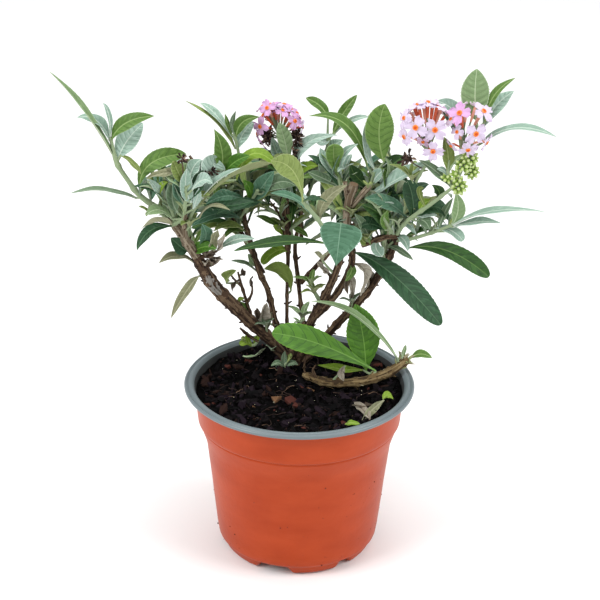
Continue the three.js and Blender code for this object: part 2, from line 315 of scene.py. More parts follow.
POT_SEGMENTS = 240
FOOT_NOTCH_HEIGHT = 5.0
FOOT_NOTCH_INNER = 25.0
# Notches between the feet, from the front towards +X: middle, half the mouth and half the roof, in degrees.
FOOT_NOTCHES = [(-18, 16, 8.5), (39, 8.5, 2), (102, 16, 8.5), (162, 8.5, 2), (222, 16, 8.5), (282, 8.5, 2)]

# Outline of the outer skin from the middle of the floor to the lip: radius and height.
POT_OUTSIDE = [
    (0.5, 0.0), (12, 0.0), (24, 0.0), (31, 0.0), (37.2, 0.0), (38.4, 0.5), (39.3, 1.6), (40.1, 4.2),
    (40.6, 5.2), (41.4, 5.8), (42.0, 6.3), (42.4, 7.4), (43.1, 12), (44.0, 20), (45.1, 30), (46.0, 39),
    (47.0, 48), (47.8, 55), (48.5, 61), (49.3, 64.2), (50.3, 67.3), (51.2, 70), (51.7, 71.6), (51.5, 72.2),
    (51.6, 72.7), (52.6, 73.3), (53.0, 74.0), (53.2, 75.5), (53.6, 80), (54.2, 86), (54.7, 90), (55.2, 91.0),
    (56.4, 91.5), (58.2, 91.6),
]
HEEL_ROW, COLLAR_ROW = 12, 24  # rows of that outline between which dirt sticks
# Outline of the grey lining from the lip's under edge over the rim and down the inside.
POT_INSIDE = [
    (58.3, 91.55), (59.4, 91.6), (59.9, 92.1), (60.0, 92.8), (59.7, 93.4), (59.1, 93.7), (58.5, 93.2),
    (57.9, 93.1), (57.4, 93.7), (56.7, 94.0), (55.9, 93.8), (55.2, 93.3), (54.7, 92.5), (54.2, 91),
    (53.5, 87), (52.6, 81), (51.8, 76), (50.4, 73.5), (49.4, 70.5), (47.2, 62),
]
INNER_WALL_ROW = 12  # from this row of that outline the lining is the inner wall, in a darker grey that paints its shade and some dirt
SKIN = 0.45


def notch_at(angle):
    """How open the foot is at an angle from the front: 0 on a foot, 1 under a notch's roof."""
    openings = [0.0]
    for middle, mouth, roof in FOOT_NOTCHES:
        off = abs((math.degrees(angle) - middle + 180) % 360 - 180)
        openings.append((mouth - off) / (mouth - roof))
    opened = min(max(openings), 1.0)
    return opened * opened * (3 - 2 * opened)


def pot_point(radius, height, angle):
    """A point of the pot's outer skin, with the feet, and the slight waves of thin moulded plastic."""
    if height < FOOT_NOTCH_HEIGHT and radius > FOOT_NOTCH_INNER - 2:
        opened = notch_at(angle) * min((radius - FOOT_NOTCH_INNER + 2) / 4, 1)
        height += (FOOT_NOTCH_HEIGHT - height) * opened
    wave = 0.10 * math.sin(3 * angle + height * 0.06) + 0.06 * math.sin(5 * angle - height * 0.09 + 1)
    radius += wave * min(height / 40, 1) * (height < 90)
    return (radius * math.sin(angle), -radius * math.cos(angle), height)


def turned_skin(piece, outline, second_row=None):
    """A closed thin skin: the outline turned about the pot's axis, and again moved inwards by the skin.
    From second_row of the outline on it has the piece's second material."""
    rows = np.array(outline, float)
    along = unit(np.gradient(rows, axis=0))
    back = (rows + np.stack([-along[:, 1], along[:, 0]], 1) * SKIN)[::-1]
    ring = list(rows) + list(back)
    angles = np.linspace(0, 2 * math.pi, POT_SEGMENTS, endpoint=False)
    points = [pot_point(max(radius, 0.3), height, angle) for radius, height in ring for angle in angles]
    k = np.arange(POT_SEGMENTS)
    after = (k + 1) % POT_SEGMENTS
    low = np.arange(len(ring))[:, None] * POT_SEGMENTS
    high = (low + POT_SEGMENTS) % (len(ring) * POT_SEGMENTS)
    row = np.arange(len(ring))
    second = np.zeros(len(ring), int) if second_row is None else (row >= second_row) & (row < len(rows))
    piece.add(points, np.stack([low + k, low + after, high + after, high + k], -1).reshape(-1, 4),
              np.repeat(second.astype(int), POT_SEGMENTS))


def terracotta():
    """The orange plastic, a little streaked."""
    orange = surface("terracotta_plastic", rgb(168, 58, 14), 0.38, bump=0.12, bump_size=2.5, specular=0.2)
    mottle(orange, rgb(156, 52, 8), rgb(172, 64, 22), 30, stretch=(1, 1, 2.6), spread=0.2)
    return orange


def make_shell():
    """The outside of the pot, up to under its lip."""
    shell = Piece("pot_shell", [terracotta()], "pot", ["pot"])
    turned_skin(shell, POT_OUTSIDE)
    shell.build(35)


def make_lining():
    """The grey rim and the inner wall below it, in a darker grey that paints the wall's shade and some dirt.
    """
    grey = surface("grey_plastic", rgb(104, 116, 120), 0.34, bump=0.1, bump_size=2, specular=0.5)
    # the inner wall's darker grey is painted shade of the pot's inside, with some dirt
    inner = surface("grey_inner_wall_painted_shade_and_dirt", rgb(58, 60, 60), 0.6, bump=0.2, bump_size=2, specular=0.3)
    lining = Piece("pot_lining", [grey, inner], "pot", ["pot"])
    turned_skin(lining, POT_INSIDE, INNER_WALL_ROW)
    lining.build(40)


SPECK_COUNT = 170
SPECK_LOWEST, SPECK_RANGE = 7.0, 62.0  # heights on the wall


def make_specks():
    """Crumbs of compost stuck to the outside of the pot, thickest near its foot."""
    dirt = surface("dirt", rgb(84, 38, 26), 0.9, bump=0.4, bump_size=0.3)
    specks = Piece("pot_specks", [dirt], "soil")
    radii, heights = np.array(POT_OUTSIDE[HEEL_ROW:COLLAR_ROW]).T
    for _ in range(SPECK_COUNT):
        angle = RNG.uniform(0, 2 * math.pi)
        height = SPECK_LOWEST + SPECK_RANGE * RNG.random() ** 1.6
        size = 0.16 + 0.42 * RNG.random() ** 5
        centre = np.array(pot_point(float(np.interp(height, heights, radii)), height, angle))
        crumb(specks, centre, size, (1, 1, 0.9), 0)
    specks.build()


def make_pot():
    """The pot's two skins and the dirt on it."""
    make_shell()
    make_lining()
    make_specks()


# ---------------------------------------------------------------- soil

SOIL_LEVEL = 88.3
SOIL_RADIUS = 53.3
ROOT = np.array([-5.0, 30.0])


def soil_height(x, y):
    """The uneven surface of the compost, heaped round the stems and banked up at the wall."""
    spot = Vector((x * 0.055, y * 0.055, 3.1))
    rough = noise.noise(spot) * 1.4 + noise.noise(spot * 3.1) * 0.9
    heap = 2.4 * math.exp(-((x - ROOT[0]) ** 2 + (y - ROOT[1]) ** 2) / 300)
    bank = 1.3 * (math.hypot(x, y) / SOIL_RADIUS) ** 4
    return SOIL_LEVEL + rough * 0.8 + heap + bank


SOIL_RINGS, SOIL_SEGMENTS = 44, 150
SOIL_DEPTH = 11.0  # of the layer that is modelled
SOIL_FLOOR_SHARE = 0.97  # of the radius, at the layer's underside


def soil_point(radius, angle):
    """A point of the soil's surface, with its finest grain."""
    x, y = radius * math.cos(angle), radius * math.sin(angle)
    fine = noise.noise(Vector((x * 0.45, y * 0.45, 1))) * 1.3
    fine += noise.noise(Vector((x, y, 7)) * 1.2) * 0.6
    return x, y, soil_height(x, y) + fine


def soil_faces(last):
    """The faces from the middle over all rings to the floor, whose middle is the last point."""
    faces = []
    for k in range(SOIL_SEGMENTS):
        after = (k + 1) % SOIL_SEGMENTS
        faces.append((0, 1 + k, 1 + after))
        for ring in range(SOIL_RINGS):
            low = 1 + ring * SOIL_SEGMENTS
            high = low + SOIL_SEGMENTS
            faces.append((low + k, high + k, high + after, low + after))
        faces.append((last, last - SOIL_SEGMENTS + after, last - SOIL_SEGMENTS + k))
    return faces


def make_ground():
    """The compost as one closed layer."""
    dark = surface("compost", rgb(6, 5, 5), 0.95, bump=1.0, bump_size=1.6, specular=0.04)
    ground = Piece("soil_surface", [dark], "soil", ["soil"])
    angles = [2 * math.pi * k / SOIL_SEGMENTS for k in range(SOIL_SEGMENTS)]
    points = [(0, 0, soil_height(0, 0))]
    for ring in range(1, SOIL_RINGS + 1):
        points += [soil_point(SOIL_RADIUS * ring / SOIL_RINGS, angle) for angle in angles]
    floor, floor_radius = SOIL_LEVEL - SOIL_DEPTH, SOIL_RADIUS * SOIL_FLOOR_SHARE
    points += [(floor_radius * math.cos(angle), floor_radius * math.sin(angle), floor) for angle in angles]
    points.append((0, 0, floor))
    ground.add(points, soil_faces(len(points) - 1), 0)
    ground.build(60)


CHIP_COLOURS = {
    "chip_black": (6, 5, 6), "chip_dark": (15, 11, 13), "chip_violet": (30, 22, 29),
    "chip_brown": (40, 26, 22), "chip_red": (76, 42, 36), "chip_tan": (104, 76, 54),
}
CHIP_CHANCES = [0.45, 0.28, 0.15, 0.1, 0.015, 0.005]
CHIP_COUNT = 1500
CHIP_CORNERS = 7
LARGE_CHIP_THICKNESS = 1.4
LARGE_CHIP_ABOVE = 1.2  # from the soil to a large chip's middle
# Larger pieces of bark: pixel, length, width and colour.
LARGE_CHIPS = [
    ((279, 398), 10, 6, 5), ((290, 400), 9, 6.5, 4), ((296, 405), 7, 4, 4), ((241, 403), 9, 6, 2),
    ((222, 397), 8, 5, 2), ((238, 366), 7, 4, 3), ((207, 375), 8, 5, 1), ((384, 362), 7, 4.5, 4),
    ((255, 375), 8, 5, 1), ((330, 400), 10, 5, 1), ((305, 418), 11, 5, 2), ((262, 420), 9, 6, 1),
    ((345, 395), 9, 6, 2), ((372, 392), 8, 5, 1), ((300, 385), 8, 5, 2), ((252, 390), 8, 4, 2),
    ((360, 415), 9, 5, 1), ((283, 425), 8, 5, 2), ((226, 366), 5, 2.5, 4), ((226, 352), 9, 6, 2),
    ((214, 384), 9, 4, 2), ((266, 392), 8, 5, 3), ((320, 410), 9, 4, 2), ((240, 416), 9, 5, 2),
]


def chip(piece, centre, size, mark, tilt=0.5):
    """A flake of bark: a bent slab with a ragged outline."""
    length, width, thickness = size
    corners = CHIP_CORNERS
    angles = np.sort(RNG.uniform(0, 2 * math.pi, corners))
    ragged = RNG.uniform(0.75, 1.15, corners)
    outline = np.stack([np.cos(angles) * ragged * length / 2, np.sin(angles) * ragged * width / 2,
                        RNG.normal(0, 0.1 * width, corners)], 1)
    top = np.vstack([outline, [[0, 0, thickness * 0.7]]])
    bottom = np.vstack([outline * [0.9, 0.9, 1] - [0, 0, thickness], [[0, 0, -thickness]]])
    lean = Matrix.Rotation(RNG.normal(0, tilt), 3, "X") @ Matrix.Rotation(RNG.normal(0, tilt), 3, "Y")
    spin = np.array(Matrix.Rotation(RNG.uniform(0, 2 * math.pi), 3, "Z") @ lean)
    faces = []
    for k in range(corners):
        after = (k + 1) % corners
        faces.append((k, after, corners))
        faces.append((corners + 1 + after, corners + 1 + k, 2 * corners + 1))
        faces.append((k, corners + 1 + k, corners + 1 + after, after))
    piece.add(np.vstack([top, bottom]) @ spin.T + centre, faces, mark)


def on_soil(limit=0.97):
    """A random place on the soil."""
    radius = SOIL_RADIUS * limit * math.sqrt(RNG.random())
    angle = RNG.uniform(0, 2 * math.pi)
    return radius * math.cos(angle), radius * math.sin(angle)


GROUND_STEPS = 12  # each brings the point closer to the soil


def on_ground(px, py, above):
    """The point that far over the soil that shows at that pixel of the photograph."""
    depth = 0.0
    for _ in range(GROUND_STEPS):
        point = seen(px, py, depth)
        depth += (point[2] - (soil_height(point[0], point[1]) + above)) / math.tan(RIM_ELEVATION)
    return seen(px, py, depth)


def clear_of_wall(x, y, length):
    """Moves a place on the soil inwards until a chip of that length lies clear of the pot's wall."""
    inwards = min(1.0, (SOIL_RADIUS - length / 2) / max(math.hypot(x, y), 1.0))
    return x * inwards, y * inwards


def make_chips():
    """The bark chips on the soil: small ones by chance, large ones as listed."""
    materials = surfaces(CHIP_COLOURS, roughness=0.8, bump=0.9, bump_size=0.7, specular=0.08)
    chips = Piece("soil_chips", materials, "soil")
    for _ in range(CHIP_COUNT):
        x, y = on_soil()
        length = 1.6 + 9.0 * RNG.random() ** 2.6
        size = (length, length * RNG.uniform(0.22, 0.6), RNG.uniform(0.4, 1.4))
        mark = int(RNG.choice(len(CHIP_COLOURS), p=CHIP_CHANCES))
        x, y = clear_of_wall(x, y, length)
        chip(chips, (x, y, soil_height(x, y) + RNG.uniform(-0.2, 1.1)), size, mark)
    for (px, py), length, width, mark in LARGE_CHIPS:
        x, y, _ = on_ground(px, py, LARGE_CHIP_ABOVE)
        x, y = clear_of_wall(x, y, length)
        place = (x, y, soil_height(x, y) + LARGE_CHIP_ABOVE)
        chip(chips, place, (length, width, LARGE_CHIP_THICKNESS), mark, tilt=0.22)
    chips.build(30)


FIBRE_COUNT = 80
FIBRE_POINTS = 6
FIBRE_BROWN, FIBRE_TAN, GRIT = range(3)
TAN_CHANCE = 0.22
GRIT_COUNT = 40


def fibre(piece):
    """A thin root or fibre that winds over the soil, if it ends clear of the wall."""
    x, y = on_soil(0.9)
    heading = RNG.uniform(0, 2 * math.pi)
    length = RNG.uniform(2, 12)
    path = []
    for t in np.linspace(0, 1, FIBRE_POINTS):
        heading += RNG.normal(0, 0.3)
        path.append((x, y, soil_height(x, y) + 1.0 + 0.9 * math.sin(math.pi * t) * RNG.random()))
        x += math.cos(heading) * length / (FIBRE_POINTS - 1)
        y += math.sin(heading) * length / (FIBRE_POINTS - 1)
    if math.hypot(x, y) < SOIL_RADIUS - 1:
        radii = np.linspace(RNG.uniform(0.1, 0.26), 0.05, FIBRE_POINTS)
        tube(piece, path, radii, 4, FIBRE_TAN if RNG.random() < TAN_CHANCE else FIBRE_BROWN)


def make_fibres():
    """Fibres and pale grit on the soil."""
    materials = surfaces({"fibre_brown": (54, 38, 32), "fibre_tan": (112, 88, 70)},
                         roughness=0.9, bump=0.5, bump_size=0.3)
    materials.append(surface("grit", rgb(190, 184, 156), 0.8, bump=0.3, bump_size=0.3))
    fibres = Piece("soil_fibres", materials, "soil")
    for _ in range(FIBRE_COUNT):
        fibre(fibres)
    for _ in range(GRIT_COUNT):
        x, y = on_soil(0.9)
        crumb(fibres, (x, y, soil_height(x, y) + 1.1), RNG.uniform(0.12, 0.32), (1, 1, 1), GRIT)
    fibres.build()


def make_soil():
    """The compost and what lies on it."""
    make_ground()
    make_chips()
    make_fibres()


# ---------------------------------------------------------------- limbs

# Route of each limb as it is seen: column, row and depth behind the pot's axis; then its radius there.
LIMBS = {
    "stem_left": [(290, 362, 28, 3.0), (272, 341, 25, 3.1), (253, 324, 20, 3.3), (234, 306, 13, 3.4),
                  (215, 287, 5, 3.4), (204, 270, -1, 3.0), (195, 254, -4, 2.6), (184, 238, -6, 2.2)],
    "stem_left_inner": [(287, 358, 33, 1.9), (276, 324, 36, 1.6), (268, 291, 40, 1.5), (259, 271, 42, 1.45),
                        (252, 247, 44, 1.4), (246, 226, 46, 1.3), (243, 206, 48, 1.0)],
    "stem_back": [(288, 352, 34, 1.2), (287, 322, 39, 0.95), (287, 291, 45, 0.95), (288, 258, 50, 1.1),
                  (287, 232, 54, 2.2), (285, 205, 57, 2.1), (284, 188, 58, 1.2)],
    "stem_back_right": [(301, 354, 33, 1.4), (303, 322, 40, 1.3), (301, 306, 46, 1.2), (298, 278, 54, 1.2),
                        (295, 250, 64, 1.1), (298, 228, 74, 0.9), (304, 205, 78, 0.8)],
    "stem_middle": [(298, 360, 28, 2.4), (309, 326, 22, 2.3), (320, 306, 16, 2.3), (332, 281, 8, 1.9),
                    (340, 259, 0, 1.7), (339, 243, -8, 1.5), (329, 231, -15, 1.4)],
    "stem_middle_fork": [(316, 316, 18, 1.8), (329, 303, 14, 1.8), (342, 285, 12, 1.7), (352, 262, 10, 1.7),
                         (350, 240, 6, 1.8), (347, 222, 2, 2.0), (349, 202, 0, 2.2), (354, 184, -1, 2.2)],
    "stem_right": [(304, 360, 28, 2.3), (329, 333, 21, 2.1), (342, 319, 19, 2.1), (355, 306, 17, 2.1),
                   (374, 283, 13, 2.0), (389, 257, 9, 1.9), (397, 234, 5, 1.8)],
    "twig_trailing": [(304, 375, 11.6, 1.5), (310, 377, 8.9, 1.9), (325, 382, 3.0, 2.2), (345, 383, 1.8, 2.3),
                      (364, 381, 3.6, 2.4), (383, 375, 7.3, 2.4), (391, 371, 8.5, 2.4), (399, 366, 10.1, 2.3),
                      (408, 359, 12.5, 1.8)],
}
# Brown side twigs and pruned stubs, told the way the limbs are.
BROWN_TWIGS = {
    "withered_twig": [(252, 320, 19, 1.1), (247, 303, 18, 0.9), (242, 287, 17, 0.75), (238, 272, 16, 0.5)],
    "withered_fork": [(247, 303, 18, 0.8), (252, 293, 18, 0.6), (252, 283, 18, 0.4)],
    "withered_side": [(242, 287, 17, 0.7), (234, 279, 16, 0.6), (229, 272, 15, 0.4)],
    "low_stub": [(258, 341, 22, 1.1), (248, 335, 21, 0.8), (240, 328, 20, 0.5)],
    "back_stub": [(284, 224, 55, 0.9), (277, 211, 55, 0.7), (270, 201, 54, 0.4)],
    "pruned_stub": [(350, 206, 0, 1.5), (347, 195, 0, 1.3), (345, 182, 0, 1.2)],
    "pruned_knob": [(352, 206, 0, 1.3), (360, 197, -1, 1.4), (366, 190, -2, 1.5), (370, 186, -2, 0.9)],
    "left_fork": [(187, 244, -6, 2.3), (180, 232, -6, 2.2), (172, 222, -6, 1.7), (163, 213, -6, 1.5)],
    "left_heart_fork": [(185, 238, -6, 1.7), (184, 225, -8, 1.3), (185, 214, -11, 1.0)],
    "node_twig": [(198, 258, -4, 1.2), (208, 255, -5, 0.9), (217, 251, -6, 0.6)],
    "node_knob": [(203, 264, -3, 1.8), (211, 264, -4, 1.3), (218, 261, -5, 0.7)],
    "red_twig": [(398, 236, 4, 1.3), (386, 237, 2, 1.4), (374, 241, 1, 1.5), (362, 246, 2, 1.0)],
    "straw": [(307, 378, 10, 0.6), (304, 368, 11, 0.5), (306, 356, 11, 0.35)],
    "snag": [(318, 381, 5, 0.8), (313, 371, 4, 0.6), (316, 365, 4, 0.4)],
}
# Wood that is still young and pale: the limb and the share of it where that begins.
YOUNG_FROM = {"stem_left": 0.88, "stem_middle": 0.88, "stem_middle_fork": 0.74, "pruned_stub": 0,
              "pruned_knob": 0, "left_fork": 0, "left_heart_fork": 0}
# Hidden boughs, from where they leave their stem: x, y, z and radius.
HIDDEN_LIMBS = {
    "back_left": [(-20, 42, 136, 1.4), (-33, 49, 158, 1.2), (-50, 58, 182, 1.0), (-60, 64, 194, 0.7)],
    "back_right": [(0, 53, 126, 1.4), (24, 51, 156, 1.2), (48, 51, 187, 1.0), (57, 53, 199, 0.6)],
    "back_centre": [(0, 64, 148, 1.1), (-1, 76, 166, 1.0), (-2, 88, 180, 0.8), (-2, 96, 190, 0.6)],
}

# Green shoots that carry the leaves, told the way the limbs are.
SHOOTS = {
    "left": [(184, 240, -6, 2.1), (173, 223, -6, 1.7), (159, 210, -6, 1.5), (139.5, 195, -7, 1.4),
             (127, 179, -8, 1.2), (116.5, 162, -8, 1.2), (111, 140, -8, 0.8)],
    "left_side": [(178, 229, -6, 1.0), (170, 208, -10, 0.8), (159, 194, -13, 0.7), (148, 181, -15, 0.5)],
    "left_heart": [(184, 218, -10, 0.9), (185, 206, -13, 0.9), (186, 194, -16, 0.7), (184, 182, -16, 0.5)],
    "left_inner": [(185, 232, -6, 1.2), (192, 213, -9, 1.0), (202, 195, -8, 0.8), (213, 181, -4, 0.7),
                   (222, 171, 2, 0.6)],
    "upper_left": [(243, 207, 48, 0.9), (242, 200, 50, 0.9), (240, 172, 52, 0.9), (238, 150, 52, 0.8),
                   (234, 134, 52, 0.7)],
    "centre": [(244, 212, 46, 0.9), (248, 207, 41, 0.9), (252, 200, 36, 0.8), (258, 190, 32, 0.7)],
    "centre_flower": [(284, 192, 58, 1.2), (286, 176, 57, 1.1), (288, 160, 57, 1.0), (281, 138, 59, 0.8)],
    "top_centre": [(304, 205, 78, 0.9), (314, 180, 72, 0.8), (324, 156, 68, 0.8), (331, 134, 66, 0.7)],
    "front": [(334, 240, -12, 1.1), (325, 230, -18, 1.1), (316, 217, -26, 1.0), (303, 202, -38, 0.85)],
    "right_centre": [(352, 240, 8, 1.2), (361, 216, 10, 1.0), (369, 190, 10, 0.9), (376, 168, 9, 0.7)],
    "right_inner": [(348, 226, 2, 1.0), (342, 205, 6, 0.9), (340, 186, 8, 0.8), (338, 172, 10, 0.7)],
    "right": [(397, 234, 3, 1.15), (407, 221, -2, 1.05), (431, 204, -10, 0.95), (452, 188, -14, 0.8)],
    "right_side": [(394, 240, 6, 1.2), (410, 239, 1, 0.95), (434, 232, -5, 0.85), (452, 225, -10, 0.75)],
    "right_flower": [(398, 230, 4, 1.1), (408, 200, -2, 0.9), (420, 174, -8, 0.8), (432, 158, -12, 0.7)],
    "right_crest": [(452, 188, -14, 0.9), (463, 166, -13, 0.9), (472, 146, -11, 0.8), (477, 124, -8, 0.7)],
    "right_front": [(396, 238, 5, 0.9), (386, 222, -2, 0.75), (376, 205, -6, 0.6)],
    "right_stalks": [(452, 188, -14, 0.8), (448, 174, -14, 0.7), (449, 160, -13, 0.6)],
    "soil_sprout": [(285, 371, 22, 0.6), (285, 367, 22, 0.5), (285, 364, 22, 0.4)],
    "twig_end": [(373, 379, 5.2, 1.6), (374, 375, 6.4, 1.2), (372, 371, 7.6, 1.0)],
}

RING_SPACING = 0.8
PATHS = {}


def even_path(name, rows):
    """Keeps a limb's centreline, spaced evenly, with its radius as a fourth column."""
    rough = smooth_path(rows, 12 * len(rows))
    gaps = np.linalg.norm(np.diff(rough[:, :3], axis=0), axis=1)
    along = np.concatenate([[0], np.cumsum(gaps)])
    even = np.linspace(0, along[-1], max(int(along[-1] / RING_SPACING), 8))
    PATHS[name] = np.stack([np.interp(even, along, rough[:, k]) for k in range(4)], 1)
    return PATHS[name]


def seen_path(name, route):
    """The same for a limb that is told by its pixels and depths."""
    return even_path(name, [(*seen(px, py, depth), radius) for px, py, depth, radius in route])


def bark_relief(roughness, node_spacing, seed):
    """A radius for each ring and angle: furrows that run along the wood, knots and swollen leaf nodes."""
    def relief(ring, angle, radius):
        height = ring * RING_SPACING
        furrow = noise.noise(Vector((math.cos(angle) * 3.1, math.sin(angle) * 3.1, height * 0.05 + seed)))
        grain = noise.noise(Vector((math.cos(angle) * 6.5, math.sin(angle) * 6.5, height * 0.16 + seed)))
        knot = noise.noise(Vector((math.cos(angle), math.sin(angle), height * 0.24 + seed)))
        here = (height + seed * 3) % node_spacing
        swell = math.exp(-((min(here, node_spacing - here)) / 1.3) ** 2)
        side = 0.5 + 0.5 * abs(math.cos(angle + seed))
        rough = furrow + 0.6 * grain + 0.9 * knot
        return radius * (1 + roughness * rough) + 0.34 * swell * side * min(radius, 1.6)
    return relief


DARK_BARK, BARK, PALE_BARK, SPUR, SCAR, YOUNG_BARK = range(6)


def bark_tones(rings, sides, seed):
    """Dark furrows and pale ridges that run along a limb, as a material for each face."""
    tones = np.full((rings - 1, sides), BARK)
    for ring in range(rings - 1):
        height = ring * RING_SPACING
        for k in range(sides):
            across, up = math.cos(2 * math.pi * k / sides), math.sin(2 * math.pi * k / sides)
            value = noise.noise(Vector((across * 2.8, up * 2.8, height * 0.08 + seed)))
            value += 0.5 * noise.noise(Vector((across * 7, up * 7, height * 0.4 + seed)))
            if value < -0.14:
                tones[ring, k] = DARK_BARK
            elif value > 0.2:
                tones[ring, k] = PALE_BARK
    return tones


def spindle(piece, start, end, radius, mark, sides=6, bend=0.0, rings=5):
    """A small closed body, pointed at both ends, such as a spur, a bud or a dead flower."""
    start, end = np.asarray(start, float), np.asarray(end, float)
    t = np.linspace(0, 1, rings)
    path = start + (end - start) * t[:, None] + np.outer(np.sin(math.pi * t) * bend, random_turn()[0])
    tube(piece, path, radius * np.sin(math.pi * (0.12 + 0.8 * t)) ** 0.7, sides, mark)


def spurs(piece, path, spacing, mark, length=2.6):
    """The stumps of old leaf stalks, in pairs along a stem and each pair square to the last."""
    normals, binormals = carried_normals(path[:, :3])
    step = max(int(spacing / RING_SPACING), 3)
    for count, k in enumerate(range(step, len(path) - 4, step)):
        turn = count * math.pi / 2 + RNG.normal(0, 0.3)
        for side in (0, math.pi):
            if RNG.random() < 0.25:
                continue
            out = normals[k] * math.cos(turn + side) + binormals[k] * math.sin(turn + side)
            along = unit(path[k + 3, :3] - path[k, :3])
            start = path[k, :3] + out * path[k, 3] * 0.6
            reach = length * RNG.uniform(0.5, 1.3)
            spindle(piece, start, start + (out * 0.8 + along * 0.6) * reach, 0.55, mark, bend=0.3)


def limb_tube(piece, path, roughness, seed, young_from=1.0):
    """A limb with furrowed bark, as many sides as its thickness needs, and pale from a share of it on."""
    sides = int(np.clip(8 + 7 * path[:, 3].max(), 12, 32))
    tones = bark_tones(len(path), sides, seed)
    tones[int(young_from * len(path)):] += YOUNG_BARK
    tube(piece, path[:, :3], path[:, 3], sides, tones, bark_relief(roughness, 13.0, seed))


BARK_FINISH = dict(roughness=0.9, bump=0.9, bump_size=0.5, specular=0.15)


def bark_materials():
    """The barks, in the order of their marks."""
    old = surfaces({"bark_dark": (46, 34, 27), "bark_brown": (76, 59, 46), "bark_pale": (108, 89, 70)},
                   **BARK_FINISH)
    spur = surface("bark_spur", rgb(66, 50, 39), 0.9, bump=0.6, bump_size=0.5, specular=0.15)
    scar = surface("bark_scar", rgb(138, 134, 128), 0.9, bump=1.0, bump_size=0.6, specular=0.1)
    young = surfaces({"young_bark_dark": (92, 78, 62), "young_bark": (118, 106, 90),
                      "young_bark_pale": (146, 134, 116)}, **BARK_FINISH)
    return old + [spur, scar] + young


def make_bark():
    """All the wood that has bark: stems, twigs, hidden boughs, rootstock and the twig over the rim."""
    browns = bark_materials()
    stems = [name for name in LIMBS if name != "twig_trailing"]
    wood = Piece("bark_stems", browns, "bark", stems + ["bough_back_left", "bough_back_right"])
    for seed, (name, route) in enumerate(LIMBS.items()):
        path = seen_path(name, route)
        if name != "twig_trailing":
            limb_tube(wood, path, 0.10, seed + 1, YOUNG_FROM.get(name, 1.0))
            spurs(wood, path, 7.0, SPUR)
    for seed, (name, route) in enumerate(BROWN_TWIGS.items()):
        path = seen_path(name, route)
        limb_tube(wood, path, 0.12, seed + 20, YOUNG_FROM.get(name, 1.0))
        spurs(wood, path, 6.0, SPUR, 1.8)
    for seed, (name, route) in enumerate(HIDDEN_LIMBS.items()):
        limb_tube(wood, even_path(name, route), 0.08, seed + 40)
    make_scar(wood)
    wood.build(70)
    make_rootstock(browns)
    make_trailing_twig()


# Where the bark has peeled off the thick stem, as shares of the stem's length.
SCAR_START, SCAR_END = 0.63, 0.78
SCAR_COLUMNS = 9
SCAR_THICKNESS = 1.2


def make_scar(piece):
    """A pale flake of lifting bark on the thick stem, on the side towards the viewer."""
    path = PATHS["stem_left"]
    first, last = int(len(path) * SCAR_START), int(len(path) * SCAR_END)
    towards = unit(EYE - path[first, :3])
    points = []
    for k in range(first, last + 1, 2):
        centre, radius = path[k, :3], path[k, 3]
        along = unit(path[min(k + 1, len(path) - 1), :3] - path[k - 1, :3])
        out = unit(towards - along * np.dot(towards, along))
        side = np.cross(along, out)
        share = (k - first) / (last - first)
        half = 0.7 * math.sin(math.pi * (0.06 + 0.88 * share)) ** 0.6 * (1 + 0.3 * math.sin(k * 1.7))
        for column in np.linspace(-half, half, SCAR_COLUMNS) - 0.1:
            lift = radius + 0.3 + 0.9 * noise.noise(Vector((column * 5, k * 0.16, 5)))
            points.append(centre + (out * math.cos(column) + side * math.sin(column)) * lift)
    grid = np.array(points).reshape(-1, SCAR_COLUMNS, 3).swapaxes(0, 1)
    sheet(piece, grid, -towards * SCAR_THICKNESS, SCAR)


STOCK_RINGS, STOCK_SIDES, STOCK_STUMPS = 22, 40, 34


def make_rootstock(browns):
    """The knotted crown that the stems spring from, sunk in the compost, with dead stumps round it."""
    low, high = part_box("rootstock")
    centre = (low + high) / 2 / MM
    stock = Piece("rootstock_bark", browns, "bark", ["rootstock"])
    heights = np.linspace(low.z / MM - 0.6, high.z / MM - 1.0, STOCK_RINGS)
    path = np.array([(centre.x, centre.y + 0.12 * (height - heights[0]), height) for height in heights])
    share = np.linspace(0, 1, STOCK_RINGS)
    radii = 5.0 + 3.4 * (1 - share) ** 2.2 - 3.0 * share ** 3
    tones = bark_tones(STOCK_RINGS, STOCK_SIDES, 11)
    tube(stock, path, radii, STOCK_SIDES, tones, bark_relief(0.2, 9.0, 11))
    for _ in range(STOCK_STUMPS):
        turn = RNG.uniform(0, 2 * math.pi)
        out = np.array([math.cos(turn), math.sin(turn), RNG.uniform(0.4, 1.6)])
        start = path[int(RNG.integers(8, 20))] + out * [4.0, 4.0, 0]
        end = start + unit(out) * RNG.uniform(2, 9)
        radius = RNG.uniform(0.3, 0.8)
        spindle(stock, start, end, radius, int(RNG.integers(0, 4)), 6, 0.6)
    stock.build(70)


TWIG_FIBRE, TWIG_BUD = 3, 4
TWIG_SIDES, TWIG_BRISTLES, TWIG_STRIPS = 24, 60, 34


def twig_materials():
    """The trailing twig's materials: three barks, its fibre and its buds."""
    barks = surfaces({"twig_dark": (66, 52, 36), "twig_tan": (104, 86, 58), "twig_pale": (130, 112, 80)},
                     **BARK_FINISH)
    ends = surfaces({"twig_fibre": (172, 164, 134), "twig_bud": (150, 158, 112)},
                    roughness=0.9, bump=0.6, bump_size=0.4, specular=0.15)
    return barks + ends


